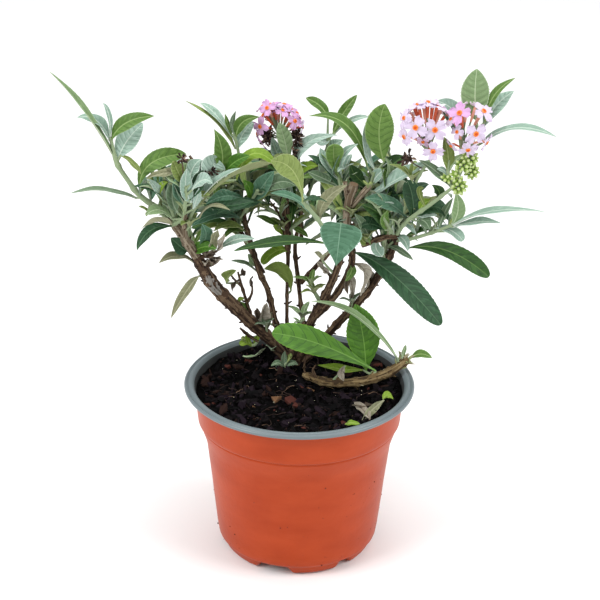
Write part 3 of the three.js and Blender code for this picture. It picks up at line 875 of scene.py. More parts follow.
def make_trailing_twig():
    """The old twig that lies over the rim, with strips of bark lifting off it, and budding at its cut end."""
    twig = Piece("trailing_twig", twig_materials(), "bark", ["twig_trailing"])
    path = PATHS["twig_trailing"]
    tones = bark_tones(len(path), TWIG_SIDES, 5)
    tube(twig, path[:, :3], path[:, 3], TWIG_SIDES, tones, bark_relief(0.1, 9.0, 5))
    spurs(twig, path, 5.0, BARK, 3.0)
    end, along = path[-1, :3], unit(path[-1, :3] - path[-6, :3])
    for _ in range(TWIG_BRISTLES):
        aim = unit(along * 0.7 + RNG.normal(0, 0.55, 3) + [0, 0, 0.45])
        start = end - along * RNG.uniform(0, 7) + RNG.normal(0, 0.9, 3)
        tip = start + aim * RNG.uniform(2, 6.5)
        radius = RNG.uniform(0.2, 0.55)
        spindle(twig, start, tip, radius, TWIG_FIBRE if RNG.random() < 0.55 else TWIG_BUD, 5, 0.5)
    for _ in range(TWIG_STRIPS):
        k = int(RNG.integers(3, len(path) - 6))
        start = path[k, :3] + random_turn()[0] * path[k, 3] * 0.95
        aim = unit(path[k + 4, :3] - path[k, :3] + RNG.normal(0, 0.6, 3))
        tip = start + aim * RNG.uniform(2, 7)
        radius = RNG.uniform(0.15, 0.4)
        spindle(twig, start, tip, radius, int(RNG.integers(0, 4)), 5, 0.4)
    twig.build(70)


# ---------------------------------------------------------------- leaves

# Kinds of leaf: upper side in three shades, underside, midrib, side veins and felted margin.
LEAF_KINDS = {
    "dark": ((32, 64, 38), (38, 72, 44), (46, 82, 52), (122, 134, 104), (72, 104, 72), (28, 57, 34),
             (58, 90, 62)),
    "deep": ((36, 68, 26), (44, 79, 31), (52, 89, 37), (112, 130, 84), (84, 114, 58), (34, 64, 26),
             (60, 94, 48)),
    "teal": ((70, 106, 82), (78, 115, 91), (88, 125, 101), (136, 152, 130), (112, 144, 122), (64, 99, 77),
             (114, 146, 126)),
    "grey": ((90, 112, 84), (100, 122, 94), (111, 133, 106), (144, 154, 126), (142, 160, 134), (84, 106, 80),
             (140, 160, 136)),
    "sage": ((122, 146, 104), (132, 156, 113), (142, 166, 123), (150, 160, 130), (170, 188, 152),
             (112, 138, 94), (162, 182, 148)),
    "silver": ((137, 163, 147), (149, 174, 159), (161, 184, 171), (158, 172, 152), (188, 203, 190),
               (126, 153, 137), (190, 205, 194)),
    "mid": ((78, 110, 44), (87, 119, 52), (97, 129, 60), (134, 148, 106), (132, 156, 94), (70, 102, 41),
            (128, 152, 102)),
    "olive": ((106, 124, 60), (116, 134, 68), (127, 145, 78), (138, 146, 104), (150, 164, 102), (98, 116, 56),
              (140, 154, 104)),
    "bright": ((62, 104, 28), (70, 114, 32), (80, 126, 37), (112, 138, 66), (104, 146, 60), (56, 96, 28),
               (94, 138, 46)),
    "lime": ((106, 136, 34), (116, 146, 42), (126, 155, 50), (124, 144, 72), (140, 164, 76), (98, 128, 34),
             (130, 154, 60)),
    "tan": ((120, 122, 92), (129, 131, 101), (139, 141, 111), (150, 150, 122), (158, 158, 130),
            (112, 114, 86), (148, 150, 122)),
    "dead": ((66, 56, 46), (82, 70, 58), (98, 86, 72), (112, 102, 86), (60, 50, 42), (64, 54, 44),
             (90, 78, 64)),
    "dry": ((140, 132, 118), (158, 150, 136), (176, 170, 156), (160, 152, 136), (118, 108, 94),
            (126, 118, 104), (164, 156, 142)),
}
UNDER, MIDRIB, VEIN, MARGIN = 3, 4, 5, 6
FELTED = ("silver", "grey", "teal", "tan", "sage")
FRESH = ("bright", "lime")
LEAVES = {}

# Leaf outlines: how slowly the blade widens from its stalk, and how slowly it narrows to its tip.
LANCE, SPOON, OVAL, BLUNT, SLENDER = (1.15, 1.05), (1.7, 0.8), (0.95, 0.8), (1.15, 0.5), (1.0, 1.3)


FELT_FINISH = dict(roughness=0.9, sheen=0.12, specular=0.15)
SMOOTH_FINISH = dict(roughness=0.5, specular=0.28)


def leaf_material(kind, mark):
    """The material of one mark. Undersides and margins are felted on every kind of leaf."""
    finish = FELT_FINISH if kind in FELTED or mark in (UNDER, MARGIN) else SMOOTH_FINISH
    return surface(f"leaf_{kind}_{mark}", rgb(*LEAF_KINDS[kind][mark]), bump=0.9, bump_size=0.7, **finish)


def leaf_piece(kind):
    """The piece that holds all leaves of a kind."""
    if kind not in LEAVES:
        materials = [leaf_material(kind, mark) for mark in range(len(LEAF_KINDS[kind]))]
        LEAVES[kind] = Piece(f"leaves_{kind}", materials, "leaf_fresh" if kind in FRESH else "leaf")
    return LEAVES[kind]


LEAF_COLUMNS = np.array([-1, -0.94, -0.64, -0.32, -0.01, 0.01, 0.32, 0.64, 0.94, 1.0])
RIB_COLUMN = 4  # the strip of faces that is the midrib
VEIN_SHARES = (0.0, 0.1, 0.4, 0.7)  # of the way from one side vein to the next
STALK_SHARE = 0.05
VEIN_SLANT = 0.6


def leaf_rows(veins):
    """Where the rows of a leaf lie, as shares of its length."""
    shares = np.array([[v + part for part in VEIN_SHARES] for v in range(veins)]).ravel()
    rows = STALK_SHARE + (1 - STALK_SHARE) * shares / veins
    return np.concatenate([[0, STALK_SHARE / 2], rows, [0.97, 0.988, 1.0]])


def leaf_faces(rows):
    """The quads of the leaf's closed skin: upper side, underside and edges, and the row and column of those
    of the upper side."""
    columns = len(LEAF_COLUMNS)
    i, j = [grid.ravel() for grid in np.meshgrid(np.arange(rows - 1), np.arange(columns - 1), indexing="ij")]
    a, offset = i * columns + j, rows * columns
    top = np.stack([a, a + columns, a + columns + 1, a + 1], -1)
    under = top[:, ::-1] + offset
    k = np.arange(rows - 1) * columns
    left = np.stack([k, k + offset, k + offset + columns, k + columns], -1)
    right = (left + columns - 1)[:, ::-1]
    m = np.arange(columns - 1)
    near = np.stack([m, m + 1, m + 1 + offset, m + offset], -1)
    far = (near + (rows - 1) * columns)[:, ::-1]
    return np.vstack([top, under, left, right, near, far]), i, j


def leaf_spread(rows, width, shape):
    """For each point of the upper side, its share of the leaf's length, half the blade's width there, and how
    far from the middle it lies."""
    grow, shrink = shape
    peak = grow / (grow + shrink)
    row, column = rows[:, None], LEAF_COLUMNS[None, :]
    s = row + VEIN_SLANT * np.abs(column) ** 1.4 * row * (1 - row)
    blade = np.clip((s - STALK_SHARE * 0.6) / (1 - STALK_SHARE * 0.6), 0, 1)
    outline = blade ** grow * (1 - blade) ** shrink / (peak ** grow * (1 - peak) ** shrink)
    half = width / 2 * outline + 0.35 * (1 - s) ** 2 + 0.1
    half *= 1 + 0.02 * (np.abs(column) == 1) * np.where(np.arange(len(rows)) % 2, 1, -1)[:, None]
    rib = np.minimum(0.34 * (1 - 0.7 * s) + 0.04, half * 0.6)
    return s, half, np.where(np.abs(column) < 0.02, np.sign(column) * rib, column * half)


def leaf_lie(base, via, tip, normal, s, twist):
    """For each share of the leaf's length, the point on its bent middle line, and the ways that lie across
    the blade and over it."""
    control = 2 * via - (base + tip) / 2
    t = s[..., None]
    point = (1 - t) ** 2 * base + 2 * t * (1 - t) * control + t * t * tip
    tangent = unit(2 * (1 - t) * (control - base) + 2 * t * (tip - control))
    over = unit(normal - tangent * (tangent @ normal)[..., None])
    side = np.cross(over, tangent)
    turn = (twist * (s - 0.3))[..., None]
    return point, side * np.cos(turn) + over * np.sin(turn), over * np.cos(turn) - side * np.sin(turn)


def leaf_tones(rows, i, j, shade, halves):
    """The mark of each quad of the upper side, from its row and column, with some patches of other shades."""
    tone = np.where(j < RIB_COLUMN, shade, max(shade - halves, 0))
    patch = RNG.choice([-1, 0, 0, 0, 1], (len(rows), len(LEAF_COLUMNS)))[i, j]
    tone = np.clip(tone + patch, 0, 2)
    vein_row = ((i - 2) % len(VEIN_SHARES) == 0) & (i >= 2) & (i < len(rows) - 4)
    tone = np.where(vein_row & (j > 0) & (j < len(LEAF_COLUMNS) - 2), VEIN, tone)
    tone = np.where((j == 0) | (j == len(LEAF_COLUMNS) - 2), MARGIN, tone)
    middle = (rows[i] + rows[i + 1]) / 2
    return np.where((j == RIB_COLUMN) | (middle < STALK_SHARE), MIDRIB, tone)


def leaf(kind, base, tip, width, normal, via, shape=LANCE, fold=18, shade=None, veins=8, curl=0.0,
         twist=0.0, ruffle=0.5, puff=0.42, halves=0):
    """One leaf: base, via and tip are points, normal is the way its upper side faces, and fold the angle of
    its halves in degrees. It returns the points of its upper side."""
    rows = leaf_rows(veins)
    fold = math.radians(fold)
    shade = int(RNG.integers(0, 3)) if shade is None else shade
    phase = RNG.uniform(0, 2 * math.pi, 2)
    length = np.linalg.norm(via - base) + np.linalg.norm(tip - via)
    s, half, across = leaf_spread(rows, width, shape)
    point, side, over = leaf_lie(base, via, tip, normal, s, twist)

    row, column = rows[:, None], LEAF_COLUMNS[None, :]
    period = ((row - STALK_SHARE) / (1 - STALK_SHARE) * veins) % 1
    bulge = np.sin(math.pi * period) * 4 * np.abs(column) * (1 - np.abs(column)) * puff * (row > STALK_SHARE)
    edge = ruffle * np.abs(column) ** 3 * np.sin(9 * s + phase[0] + (column > 0) * phase[1])
    lift = math.sin(fold) * np.abs(across) + (bulge + edge) * np.minimum(half / 3, 1)
    lift -= curl * np.maximum(s - 0.6, 0) ** 2 * length * 2.5
    upper = point + side * (across * math.cos(fold))[..., None] + over * lift[..., None]
    thickness = 0.2 + 0.5 * np.exp(-(column / 0.2) ** 2) * (1 - s)
    lower = upper - over * thickness[..., None]

    faces, i, j = leaf_faces(len(rows))
    tone = leaf_tones(rows, i, j, shade, halves)
    marks = np.concatenate([tone, np.full(len(i), UNDER), np.full(len(faces) - 2 * len(i), MARGIN)])
    leaf_piece(kind).add(np.vstack([upper.reshape(-1, 3), lower.reshape(-1, 3)]), faces, marks)
    return upper.reshape(-1, 3)


# How far from the lens, at each pixel, the nearest thing placed one by one lies.
SHOWN_AT = np.full((int(FRAME_SIDE), int(FRAME_SIDE)), np.inf)
SHOWN_REACH = 2  # pixels


def spots_and_distances(points):
    """The pixel row and column at which each point shows, and how far from the lens it lies."""
    columns, rows = np.clip(np.round(pixels(points)).astype(int), 0, int(FRAME_SIDE) - 1).T
    return rows, columns, (points - EYE) @ FORWARD


def note_shown(points):
    """Notes where something placed one by one shows, so that no leaf grown by rule hides it."""
    rows, columns, away = spots_and_distances(points)
    for down in (-SHOWN_REACH, 0, SHOWN_REACH):
        for across in (-SHOWN_REACH, 0, SHOWN_REACH):
            spot = np.clip(rows + down, 0, FRAME_SIDE - 1), np.clip(columns + across, 0, FRAME_SIDE - 1)
            np.minimum.at(SHOWN_AT, tuple(part.astype(int) for part in spot), away)


def hides_shown(points):
    """Whether any of the points lies before something that was placed one by one."""
    rows, columns, away = spots_and_distances(points)
    shown = SHOWN_AT[rows, columns]
    return np.any((away < shown - 1) & np.isfinite(shown))


def turned_normal(base, tip, tilt):
    """A blade's upper normal. At tilt 0 it faces the camera, at 90 up, or right on an upright leaf."""
    along = unit(tip - base)
    to_eye = unit(EYE - (base + tip) / 2)
    facing = unit(to_eye - along * np.dot(to_eye, along))
    side = np.cross(facing, along)
    if np.dot(side, UP if abs(side[2]) > 0.35 else RIGHT) < 0:
        side = -side
    angle = math.radians(tilt)
    return facing * math.cos(angle) + side * math.sin(angle)


def nearest_seen(name, px, py):
    """The row of a limb's path that shows nearest to a pixel."""
    offset = PATHS[name][:, :3] - EYE
    ray = unit(seen(px, py, 0.0) - EYE)
    return int(np.argmin(np.linalg.norm(offset - np.outer(offset @ ray, ray), axis=1)))


def make_shoots():
    """The green shoots that carry the leaves placed one by one."""
    for name, route in SHOOTS.items():
        path = seen_path(name, route)
        tube(TWIGS, path[:, :3], path[:, 3], 12, 0, bark_relief(0.04, 14.0, 2))
        note_shown(path[:, :3])


def stalk(path, row, first):
    """A leaf stalk or side twig that leaves the shoot a little below the leaf it carries."""
    gap = np.linalg.norm(path[row, :3] - first)
    if gap > 1.0:
        start = path[max(row - int(0.8 * gap / RING_SPACING), 0), :3]
        middle = (start + first) / 2 + [0, 0, -0.06 * gap]
        tube(TWIGS, smooth_path([start, middle, first], 8), np.linspace(0.85, 0.5, 8), 8, 0)


def seen_leaf(limb, base, via, tip, out, width, tilt, kind, **options):
    """A leaf told by its pixels. It starts at its limb's depth, and its tip lies `out` further back."""
    path = PATHS[limb]
    row = nearest_seen(limb, *base)
    depth = path[row, 1]
    first, middle, last = seen(*base, depth), seen(*via, depth + out * 0.45), seen(*tip, depth + out)
    stalk(path, row, first)
    note_shown(leaf(kind, first, last, width, turned_normal(first, last, tilt), middle, **options))


# Leaves that stand out: base, bend and tip in pixels, depth gained, width, tilt, kind and what else differs.
SEEN_LEAVES = {
    "left": [
        ((116, 160), (85, 112), (50, 72), -6, 4.6, 58, "sage", dict(fold=34, shape=(0.8, 0.9), shade=0)),
        ((110, 141), (97, 121), (76, 115), 3, 6, 40, "silver", dict(curl=0.25, shade=0, ruffle=1)),
        ((110, 137), (109, 116), (103, 103), 0, 3, 40, "silver", dict(shade=0)),
        ((111, 141), (126, 123), (154, 116), -3, 7.6, 26, "mid", dict(fold=14, shade=1, halves=1)),
        ((118, 159), (127, 141), (143, 123), 8, 11, 12, "silver", dict(shape=OVAL, shade=1, puff=0.6)),
        ((121, 155), (132, 163), (141, 174), -4, 4, 50, "olive", dict(shade=0)),
        ((137, 198), (103, 190), (71, 193), -7, 4.6, 62, "grey", dict(shape=(0.8, 1.0), shade=2)),
        ((140, 194), (149, 165), (186, 154), 4, 9.4, 16, "mid", dict(fold=10, shade=1, shape=SPOON)),
    ],
    "left_side": [
        ((166, 204), (155, 190), (134, 186), -4, 5, 50, "dark", dict(shade=2)),
        ((163, 200), (157, 189), (147, 179), -3, 4.5, 40, "silver", dict(shade=2)),
        ((161, 199), (160, 188), (168, 182), 1, 4, 40, "lime", {}),
        ((168, 206), (165, 190), (160, 172), 3, 6.5, 30, "teal", {}),
    ],
    "left_heart": [
        ((172, 219), (159, 210), (146, 215), -8, 6, 40, "sage", dict(shade=0)),
        ((172, 224), (156, 221), (141, 229), -12, 5.5, 118, "tan", dict(shape=SLENDER)),
        ((172, 226), (150, 231), (137, 250), -12, 6, 30, "dark", dict(shade=1, puff=0.6)),
        ((178, 213), (172, 196), (177, 174), -2, 6.5, 16, "grey", dict(shade=0)),
        ((192, 203), (186, 189), (187, 169), -4, 6.6, 14, "silver", dict(shade=0, shape=OVAL)),
        ((184, 184), (178, 172), (173, 161), -1, 7, 18, "olive", dict(shade=0, shape=OVAL)),
        ((190, 200), (198, 184), (203, 170), 3, 7, 20, "dark", dict(shade=2)),
        ((190, 184), (192, 170), (201, 159), 5, 6.5, 24, "silver", dict(ruffle=1.4)),
        ((192, 190), (203, 180), (213, 184), 2, 6, 30, "silver", dict(shade=2, ruffle=1.4)),
        ((183, 190), (174, 178), (160, 172), 0, 6, 30, "sage", {}),
        ((183, 204), (176, 190), (176, 178), -5, 5, 26, "teal", dict(shade=0)),
        ((193, 209), (197, 198), (199, 188), -3, 3.6, 20, "silver", dict(shade=2)),
    ],
    "stem_left": [
        ((187, 251), (181, 247), (171, 238), -5, 8, 8, "dark", dict(shade=0, shape=OVAL)),
        ((194, 262), (177, 256), (159, 263), -9, 5.6, 50, "tan", dict(shade=0)),
        ((193, 253), (204, 247), (217, 249), -7, 6.5, 20, "bright", dict(shade=0, shape=SLENDER)),
        ((199, 276), (186, 292), (171, 318), -5, 5.6, 24, "tan", dict(fold=30, shade=1, shape=(0.9, 1.0))),
        ((199, 246), (206, 236), (202, 224), -6, 7, 24, "teal", dict(shade=0)),
    ],
    "node_twig": [
        ((214, 252), (214, 240), (218, 230), -5, 4.6, 30, "tan", dict(ruffle=1.6)),
        ((216, 252), (222, 243), (224, 234), -6, 3.6, 40, "dry", dict(ruffle=1.6)),
        ((215, 252), (211, 244), (212, 238), -7, 3, 40, "tan", dict(ruffle=1.2)),
        ((218, 250), (235, 240), (255, 239), -2, 4.6, 30, "silver", dict(shade=0)),
    ],
    "left_inner": [
        ((221, 175), (222, 151), (214, 129), 0, 8.8, 14, "mid", dict(shade=0, shape=SLENDER)),
        ((206, 192), (210, 172), (218, 159), 6, 13, 22, "silver", dict(ruffle=1.6, shape=BLUNT)),
        ((200, 195), (203, 176), (204, 160), 6, 10, 22, "silver", dict(ruffle=1.6, shape=BLUNT)),
        ((197, 208), (230, 177), (272, 163), 1, 8, 108, "olive", dict(fold=8, shape=SPOON)),
        ((194, 211), (212, 186), (240, 168), -6, 5.6, 56, "silver", dict(fold=38, shade=1)),
        ((222, 176), (235, 162), (250, 156), -3, 6.4, 24, "bright", dict(shade=0)),
        ((236, 180), (252, 154), (276, 165), 3, 7.5, 44, "lime", dict(shade=0, shape=OVAL, fold=8)),
        ((204, 205), (228, 206), (254, 201), -6, 6.4, 40, "dark", dict(shade=0, puff=0.6)),
        ((199, 218), (211, 206), (230, 210), -9, 3, 60, "tan", dict(shade=1)),
    ],
    "upper_left": [
        ((236, 149), (215, 121), (186, 101), 4, 4.6, 60, "olive", dict(shape=SLENDER, shade=2)),
        ((235, 140), (215, 114), (200, 103), 6, 5, 40, "silver", dict(shade=1)),
        ((232, 135), (228, 125), (225, 114), 0, 2.6, 30, "mid", {}),
        ((234, 134), (232, 122), (236, 111), 0, 2.6, 30, "grey", {}),
        ((236, 137), (243, 122), (260, 117), -4, 6.4, 16, "mid", dict(shade=0, shape=SLENDER, halves=0)),
        ((237, 150), (243, 134), (254, 122), 4, 8, 20, "silver", dict(shade=1, shape=OVAL)),
    ],
    "centre": [
        ((240, 218), (216, 214), (191, 226), -12, 7.6, 34, "teal", dict(shade=0)),
        ((244, 200), (226, 196), (206, 204), -14, 7, 16, "teal", dict(shade=0, puff=0.9, ruffle=1.4)),
        ((262, 202), (240, 205), (216, 214), -10, 7, 30, "dark", dict(shade=0)),
        ((251, 203), (250, 190), (243, 180), -6, 5.5, 20, "bright", dict(shade=1)),
        ((252, 202), (262, 187), (274, 171), -6, 9, 14, "teal", dict(shade=1)),
        ((262, 194), (279, 182), (296, 186), -2, 9, 20, "grey", dict(shade=0)),
    ],
    "stem_back": [
        ((276, 207), (262, 205), (246, 214), -8, 5, 60, "olive", dict(shade=1)),
        ((291, 252), (277, 251), (262, 264), -3, 6.6, 30, "lime", dict(shade=0, shape=BLUNT)),
        ((291, 291), (283, 271), (264, 269), 2, 8, 150, "lime", dict(shade=0, fold=8)),
        ((282, 230), (270, 221), (256, 216), -3, 4, 40, "mid", {}),
        ((292, 225), (301, 219), (310, 218), -3, 4.5, 50, "olive", {}),
        ((292, 228), (300, 231), (308, 237), -3, 4, 40, "mid", {}),
        ((284, 236), (278, 229), (273, 226), -4, 3.5, 30, "lime", dict(shade=2)),
    ],
    "stem_left_inner": [
        ((248, 233), (230, 225), (214, 231), -10, 5.6, 56, "olive", dict(shade=0)),
        ((248, 232), (234, 230), (224, 238), -6, 4.5, 50, "mid", dict(shade=0)),
        ((257, 271), (244, 263), (231, 261), -3, 3.4, 60, "grey", {}),
        ((256, 266), (252, 261), (248, 254), -1, 4.5, 30, "sage", dict(shape=OVAL)),
    ],
    "centre_flower": [
        ((288, 167), (286, 146), (279, 123), -6, 8, 10, "sage", dict(shade=2, shape=SPOON)),
        ((284, 164), (276, 151), (272, 137), -3, 6, 20, "silver", dict(shade=1)),
        ((296, 169), (306, 144), (339, 135), -5, 6.6, 26, "silver", dict(shape=SLENDER, shade=2)),
        ((294, 160), (298, 148), (307, 141), 0, 4, 30, "silver", dict(shade=0)),
        ((286, 176), (276, 160), (264, 152), 2, 8, 30, "grey", dict(shade=0)),
        ((294, 180), (304, 168), (318, 166), -2, 6, 30, "lime", dict(shade=0)),
        ((294, 196), (284, 184), (276, 174), -2, 7, 26, "silver", dict(shade=0)),
    ],
    "top_centre": [
        ((328, 118), (320, 106), (306, 98), 2, 6, 26, "mid", dict(shade=0, shape=OVAL)),
        ((333, 134), (343, 114), (357, 95), 0, 5.8, 16, "mid", dict(shade=1, shape=OVAL)),
        ((336, 132), (352, 120), (370, 117), 0, 3.4, 30, "silver", {}),
        ((330, 138), (322, 142), (311, 134), 0, 5, 30, "silver", {}),
        ((326, 152), (333, 146), (343, 140), 0, 6, 30, "silver", {}),
    ],
    "right_inner": [
        ((339, 178), (334, 160), (334, 144), -4, 10, 14, "mid", dict(shade=2, shape=(1.5, 0.4), fold=24)),
        ((342, 178), (342, 157), (358, 144), -3, 4.6, 30, "silver", dict(shade=0)),
        ((341, 190), (326, 168), (308, 155), 4, 5, 50, "dark", dict(shade=1)),
        ((338, 186), (322, 178), (308, 172), 2, 5.5, 30, "grey", dict(shade=0)),
        ((339, 180), (327, 163), (320, 148), 5, 6.5, 30, "silver", dict(shade=0)),
    ],
    "front": [
        ((303, 202), (293, 171), (271, 161), -12, 11, 12, "olive", dict(shade=2, shape=SPOON)),
        ((317, 221), (297, 200), (271, 193), -8, 5.5, 50, "teal", dict(shade=1)),
        ((320, 219), (326, 200), (347, 185), -4, 6.6, 22, "tan", dict(shade=1)),
        ((303, 201), (315, 199), (327, 202), 3, 5, 68, "dark", {}),
        ((326, 243), (281, 242), (234, 251), -14, 6.6, 46, "deep", dict(shade=0, shape=OVAL)),
        ((341, 223), (339, 240), (336, 266), -12, 22, 10, "teal",
         dict(shade=1, fold=20, shape=(0.6, 1.2), puff=0.6)),
    ],
    "right_centre": [
        ((367, 166), (346, 125), (309, 116), 12, 7, 32, "mid", dict(shade=0, shape=SLENDER)),
        ((375, 170), (366, 149), (365, 125), 2, 4.5, 40, "silver", {}),
        ((384, 162), (379, 132), (385, 104), 3, 14.5, 6, "mid",
         dict(shade=2, puff=0.35, fold=10, shape=OVAL)),
        ((370, 195), (396, 180), (432, 159), -18, 8.6, 44, "silver", dict(fold=26, shade=1, ruffle=0.9)),
        ((371, 186), (377, 176), (384, 170), -4, 6, 30, "silver", dict(shade=0)),
        ((386, 188), (390, 173), (386, 158), -8, 5, 20, "sage", dict(twist=1.2)),
        ((366, 205), (352, 194), (347, 178), -5, 7, 30, "sage", {}),
        ((368, 186), (356, 176), (350, 164), -2, 7, 30, "deep", dict(shade=0)),
        ((378, 178), (392, 165), (405, 156), 4, 8, 30, "deep", dict(shade=0)),
    ],
    "right_front": [
        ((407, 218), (388, 203), (365, 198), -10, 7.4, 24, "teal", dict(shade=1, ruffle=1)),
        ((386, 237), (382, 217), (362, 205), -8, 7.5, 14, "deep", dict(shade=1, shape=OVAL)),
        ((396, 236), (404, 240), (408, 251), -8, 4.6, 22, "silver", dict(shade=0)),
        ((388, 246), (400, 251), (413, 260), -7, 4, 40, "grey", dict(shade=1)),
        ((384, 230), (370, 224), (360, 228), -3, 8, 30, "dark", {}),
        ((390, 232), (384, 220), (388, 210), -9, 5, 26, "mid", dict(shade=1)),
    ],
    "red_twig": [
        ((378, 240), (376, 248), (382, 256), -10, 6.5, 14, "silver", dict(shape=BLUNT, shade=0)),
        ((372, 240), (363, 226), (355, 214), -6, 5, 30, "grey", dict(shade=0)),
        ((388, 236), (389, 226), (386, 214), -4, 2.6, 30, "tan", {}),
        ((389, 236), (392, 226), (392, 216), -4, 2.2, 30, "sage", {}),
        ((368, 244), (362, 240), (358, 232), -4, 5, 30, "olive", dict(shade=0)),
    ],
    "right": [
        ((412, 224), (413, 201), (407, 180), -4, 9, 6, "dark", dict(shade=0, shape=BLUNT)),
        ((419, 217), (436, 207), (450, 222), 2, 8, 34, "dark", dict(shade=2)),
        ((418, 218), (428, 215), (437, 215), -2, 2.6, 30, "silver", {}),
        ((416, 221), (424, 221), (430, 230), -4, 6, 20, "grey", dict(shade=0)),
        ((420, 212), (424, 204), (432, 200), 2, 5, 30, "lime", dict(shade=0)),
        ((436, 201), (439, 192), (432, 185), 2, 4.5, 24, "deep", dict(ruffle=1.6)),
        ((426, 208), (419, 192), (424, 188), 3, 3, 30, "olive", dict(shade=0)),
    ],
    "right_side": [
        ((452, 225), (458, 210), (456, 193), 1, 7, 20, "sage", dict(shade=0)),
        ((438, 230), (444, 214), (453, 198), 2, 4, 30, "grey", dict(shade=0)),
        ((452, 225), (494, 211), (545, 212), -12, 5.0, 56, "silver", dict(shade=0, shape=(0.9, 1.1))),
        ((453, 227), (476, 222), (501, 223), -6, 5.2, 50, "silver", dict(shade=0)),
        ((434, 228), (450, 230), (463, 241), -5, 6, 30, "silver", dict(shade=0, shape=BLUNT)),
        ((405, 237), (418, 231), (434, 230), -4, 4.5, 60, "deep", dict(shade=1)),
        ((408, 248), (448, 251), (489, 277), -16, 9.4, 18, "deep", dict(shade=1, shape=BLUNT, puff=0.3)),
    ],
    "stem_middle_fork": [
        ((353, 252), (392, 274), (441, 325), -42, 12.4, 12, "dark",
         dict(shade=1, shape=BLUNT, puff=0.6, veins=12)),
        ((352, 262), (351, 272), (345, 281), -4, 5, 40, "mid", dict(shade=1)),
    ],
    "right_crest": [
        ((477, 122), (475, 96), (477, 69), 3, 13.6, 6, "sage", dict(shade=0, puff=0.5, fold=8, shape=OVAL)),
        ((485, 122), (494, 96), (515, 78), 2, 4.2, 28, "mid", dict(shade=1)),
        ((483, 128), (495, 107), (514, 91), 8, 8, 16, "silver", dict(shade=1)),
        ((482, 143), (515, 128), (557, 136), -6, 5, 50, "silver", dict(shade=0, curl=0.04, shape=(0.8, 0.9))),
        ((462, 132), (455, 112), (437, 101), 8, 8, 20, "silver", dict(shade=0, shape=OVAL)),
        ((464, 140), (456, 126), (443, 112), 3, 7, 30, "teal", dict(shade=2)),
        ((451, 187), (438, 173), (419, 160), 2, 5, 30, "grey", dict(shade=0)),
    ],
    "right_stalks": [
        ((448, 174), (448, 155), (444, 137), 3, 6.4, 20, "olive", dict(shade=0)),
        ((448, 176), (443, 170), (437, 169), 1, 2.6, 30, "silver", {}),
        ((449, 170), (456, 160), (466, 154), 1, 3, 40, "sage", {}),
    ],
    "twig_end": [
        ((376, 371), (322, 345), (272, 333), -16, 14.6, 14, "bright",
         dict(shade=2, fold=10, halves=1, shape=(1.3, 0.6), puff=0.5)),
        ((366, 372), (363, 336), (355, 304), 4, 17.5, 8, "bright", dict(shade=1, fold=10, puff=0.5)),
        ((363, 370), (342, 369), (318, 365), -3, 5, 40, "lime", dict(shade=1)),
    ],
    "twig_trailing": [
        ((398, 359), (356, 316), (309, 301), -14, 4.8, 44, "sage", dict(shade=0, fold=30, shape=SLENDER)),
        ((411, 358), (421, 354), (432, 358), 0, 4.6, 24, "mid", {}),
        ((402, 358), (404, 350), (406, 345), 0, 2.2, 30, "sage", {}),
        ((345, 366), (341, 373), (344, 381), -3, 3.6, 20, "dry", dict(shade=0, ruffle=1.2)),
    ],
    "low_stub": [
        ((253, 346), (248, 340), (248, 333), -1, 2.8, 14, "lime", dict(shape=BLUNT, shade=1)),
        ((252, 346), (245, 343), (240, 345), -2, 3.2, 30, "lime", dict(shape=BLUNT, shade=2)),
        ((253, 345), (246, 340), (241, 338), 0, 2.6, 20, "olive", dict(shape=BLUNT, shade=1)),
        ((254, 346), (256, 340), (258, 335), -1, 2.8, 14, "lime", dict(shape=BLUNT, shade=0)),
    ],
    "soil_sprout": [
        ((285, 368), (284, 359), (285, 351), 1, 2.8, 10, "grey", dict(shade=2)),
        ((284, 367), (278, 363), (271, 366), -1, 3, 30, "grey", dict(shade=1)),
        ((284, 367), (279, 366), (277, 371), -2, 2.6, 20, "grey", dict(shade=2)),
        ((286, 367), (292, 363), (298, 365), 1, 3, 30, "grey", dict(shade=2)),
        ((287, 362), (290, 357), (291, 353), 2, 2.2, 30, "olive", {}),
    ],
}


def make_seen_leaves():
    """The leaves placed one by one."""
    for limb, rows in SEEN_LEAVES.items():
        for base, via, tip, out, width, tilt, kind, options in rows:
            seen_leaf(limb, base, via, tip, out, width, tilt, kind, **options)


# ---------------------------------------------------------------- the rest of the foliage, by rule

# The crown's outline in the photograph, leaving out single leaves: column, top row and bottom row.
CROWN = np.array([
    (136, 192, 196), (142, 180, 200), (152, 166, 208), (162, 160, 226), (172, 158, 240), (184, 158, 250),
    (196, 158, 256), (206, 160, 252), (214, 152, 242), (222, 158, 246), (234, 166, 242), (246, 158, 242),
    (256, 154, 246), (268, 150, 250), (284, 150, 250), (300, 164, 250), (310, 160, 246), (320, 150, 246),
    (332, 148, 250), (344, 152, 262), (356, 158, 266), (368, 150, 264), (380, 128, 262), (392, 150, 258),
    (404, 162, 254), (416, 166, 246), (428, 176, 240), (440, 186, 238), (452, 194, 236), (462, 206, 234),
])
# Gaps where the sky shows through: column, row, half width and half height.
SKY_GAPS = [(150, 203, 8, 4), (168, 236, 5, 3), (243.5, 194, 4.5, 5.5), (259, 227, 14, 10), (250, 219, 5, 4),
            (277, 215, 4, 2.5), (296, 210, 3, 2), (303, 229, 7, 4), (208, 241, 6, 4), (229, 252, 9, 8),
            (245, 257, 6, 5), (313, 191, 11, 8), (325, 221, 4.5, 5), (305, 220, 5, 2), (354, 157, 5, 6),
            (365, 166, 3, 4), (393, 152, 4, 5), (377, 235, 5, 2.5), (368, 252, 6, 4), (422, 196, 3, 3),
            (430, 192, 6, 6), (446, 207, 6, 5), (412, 152, 3, 3), (270, 228, 8, 8)]


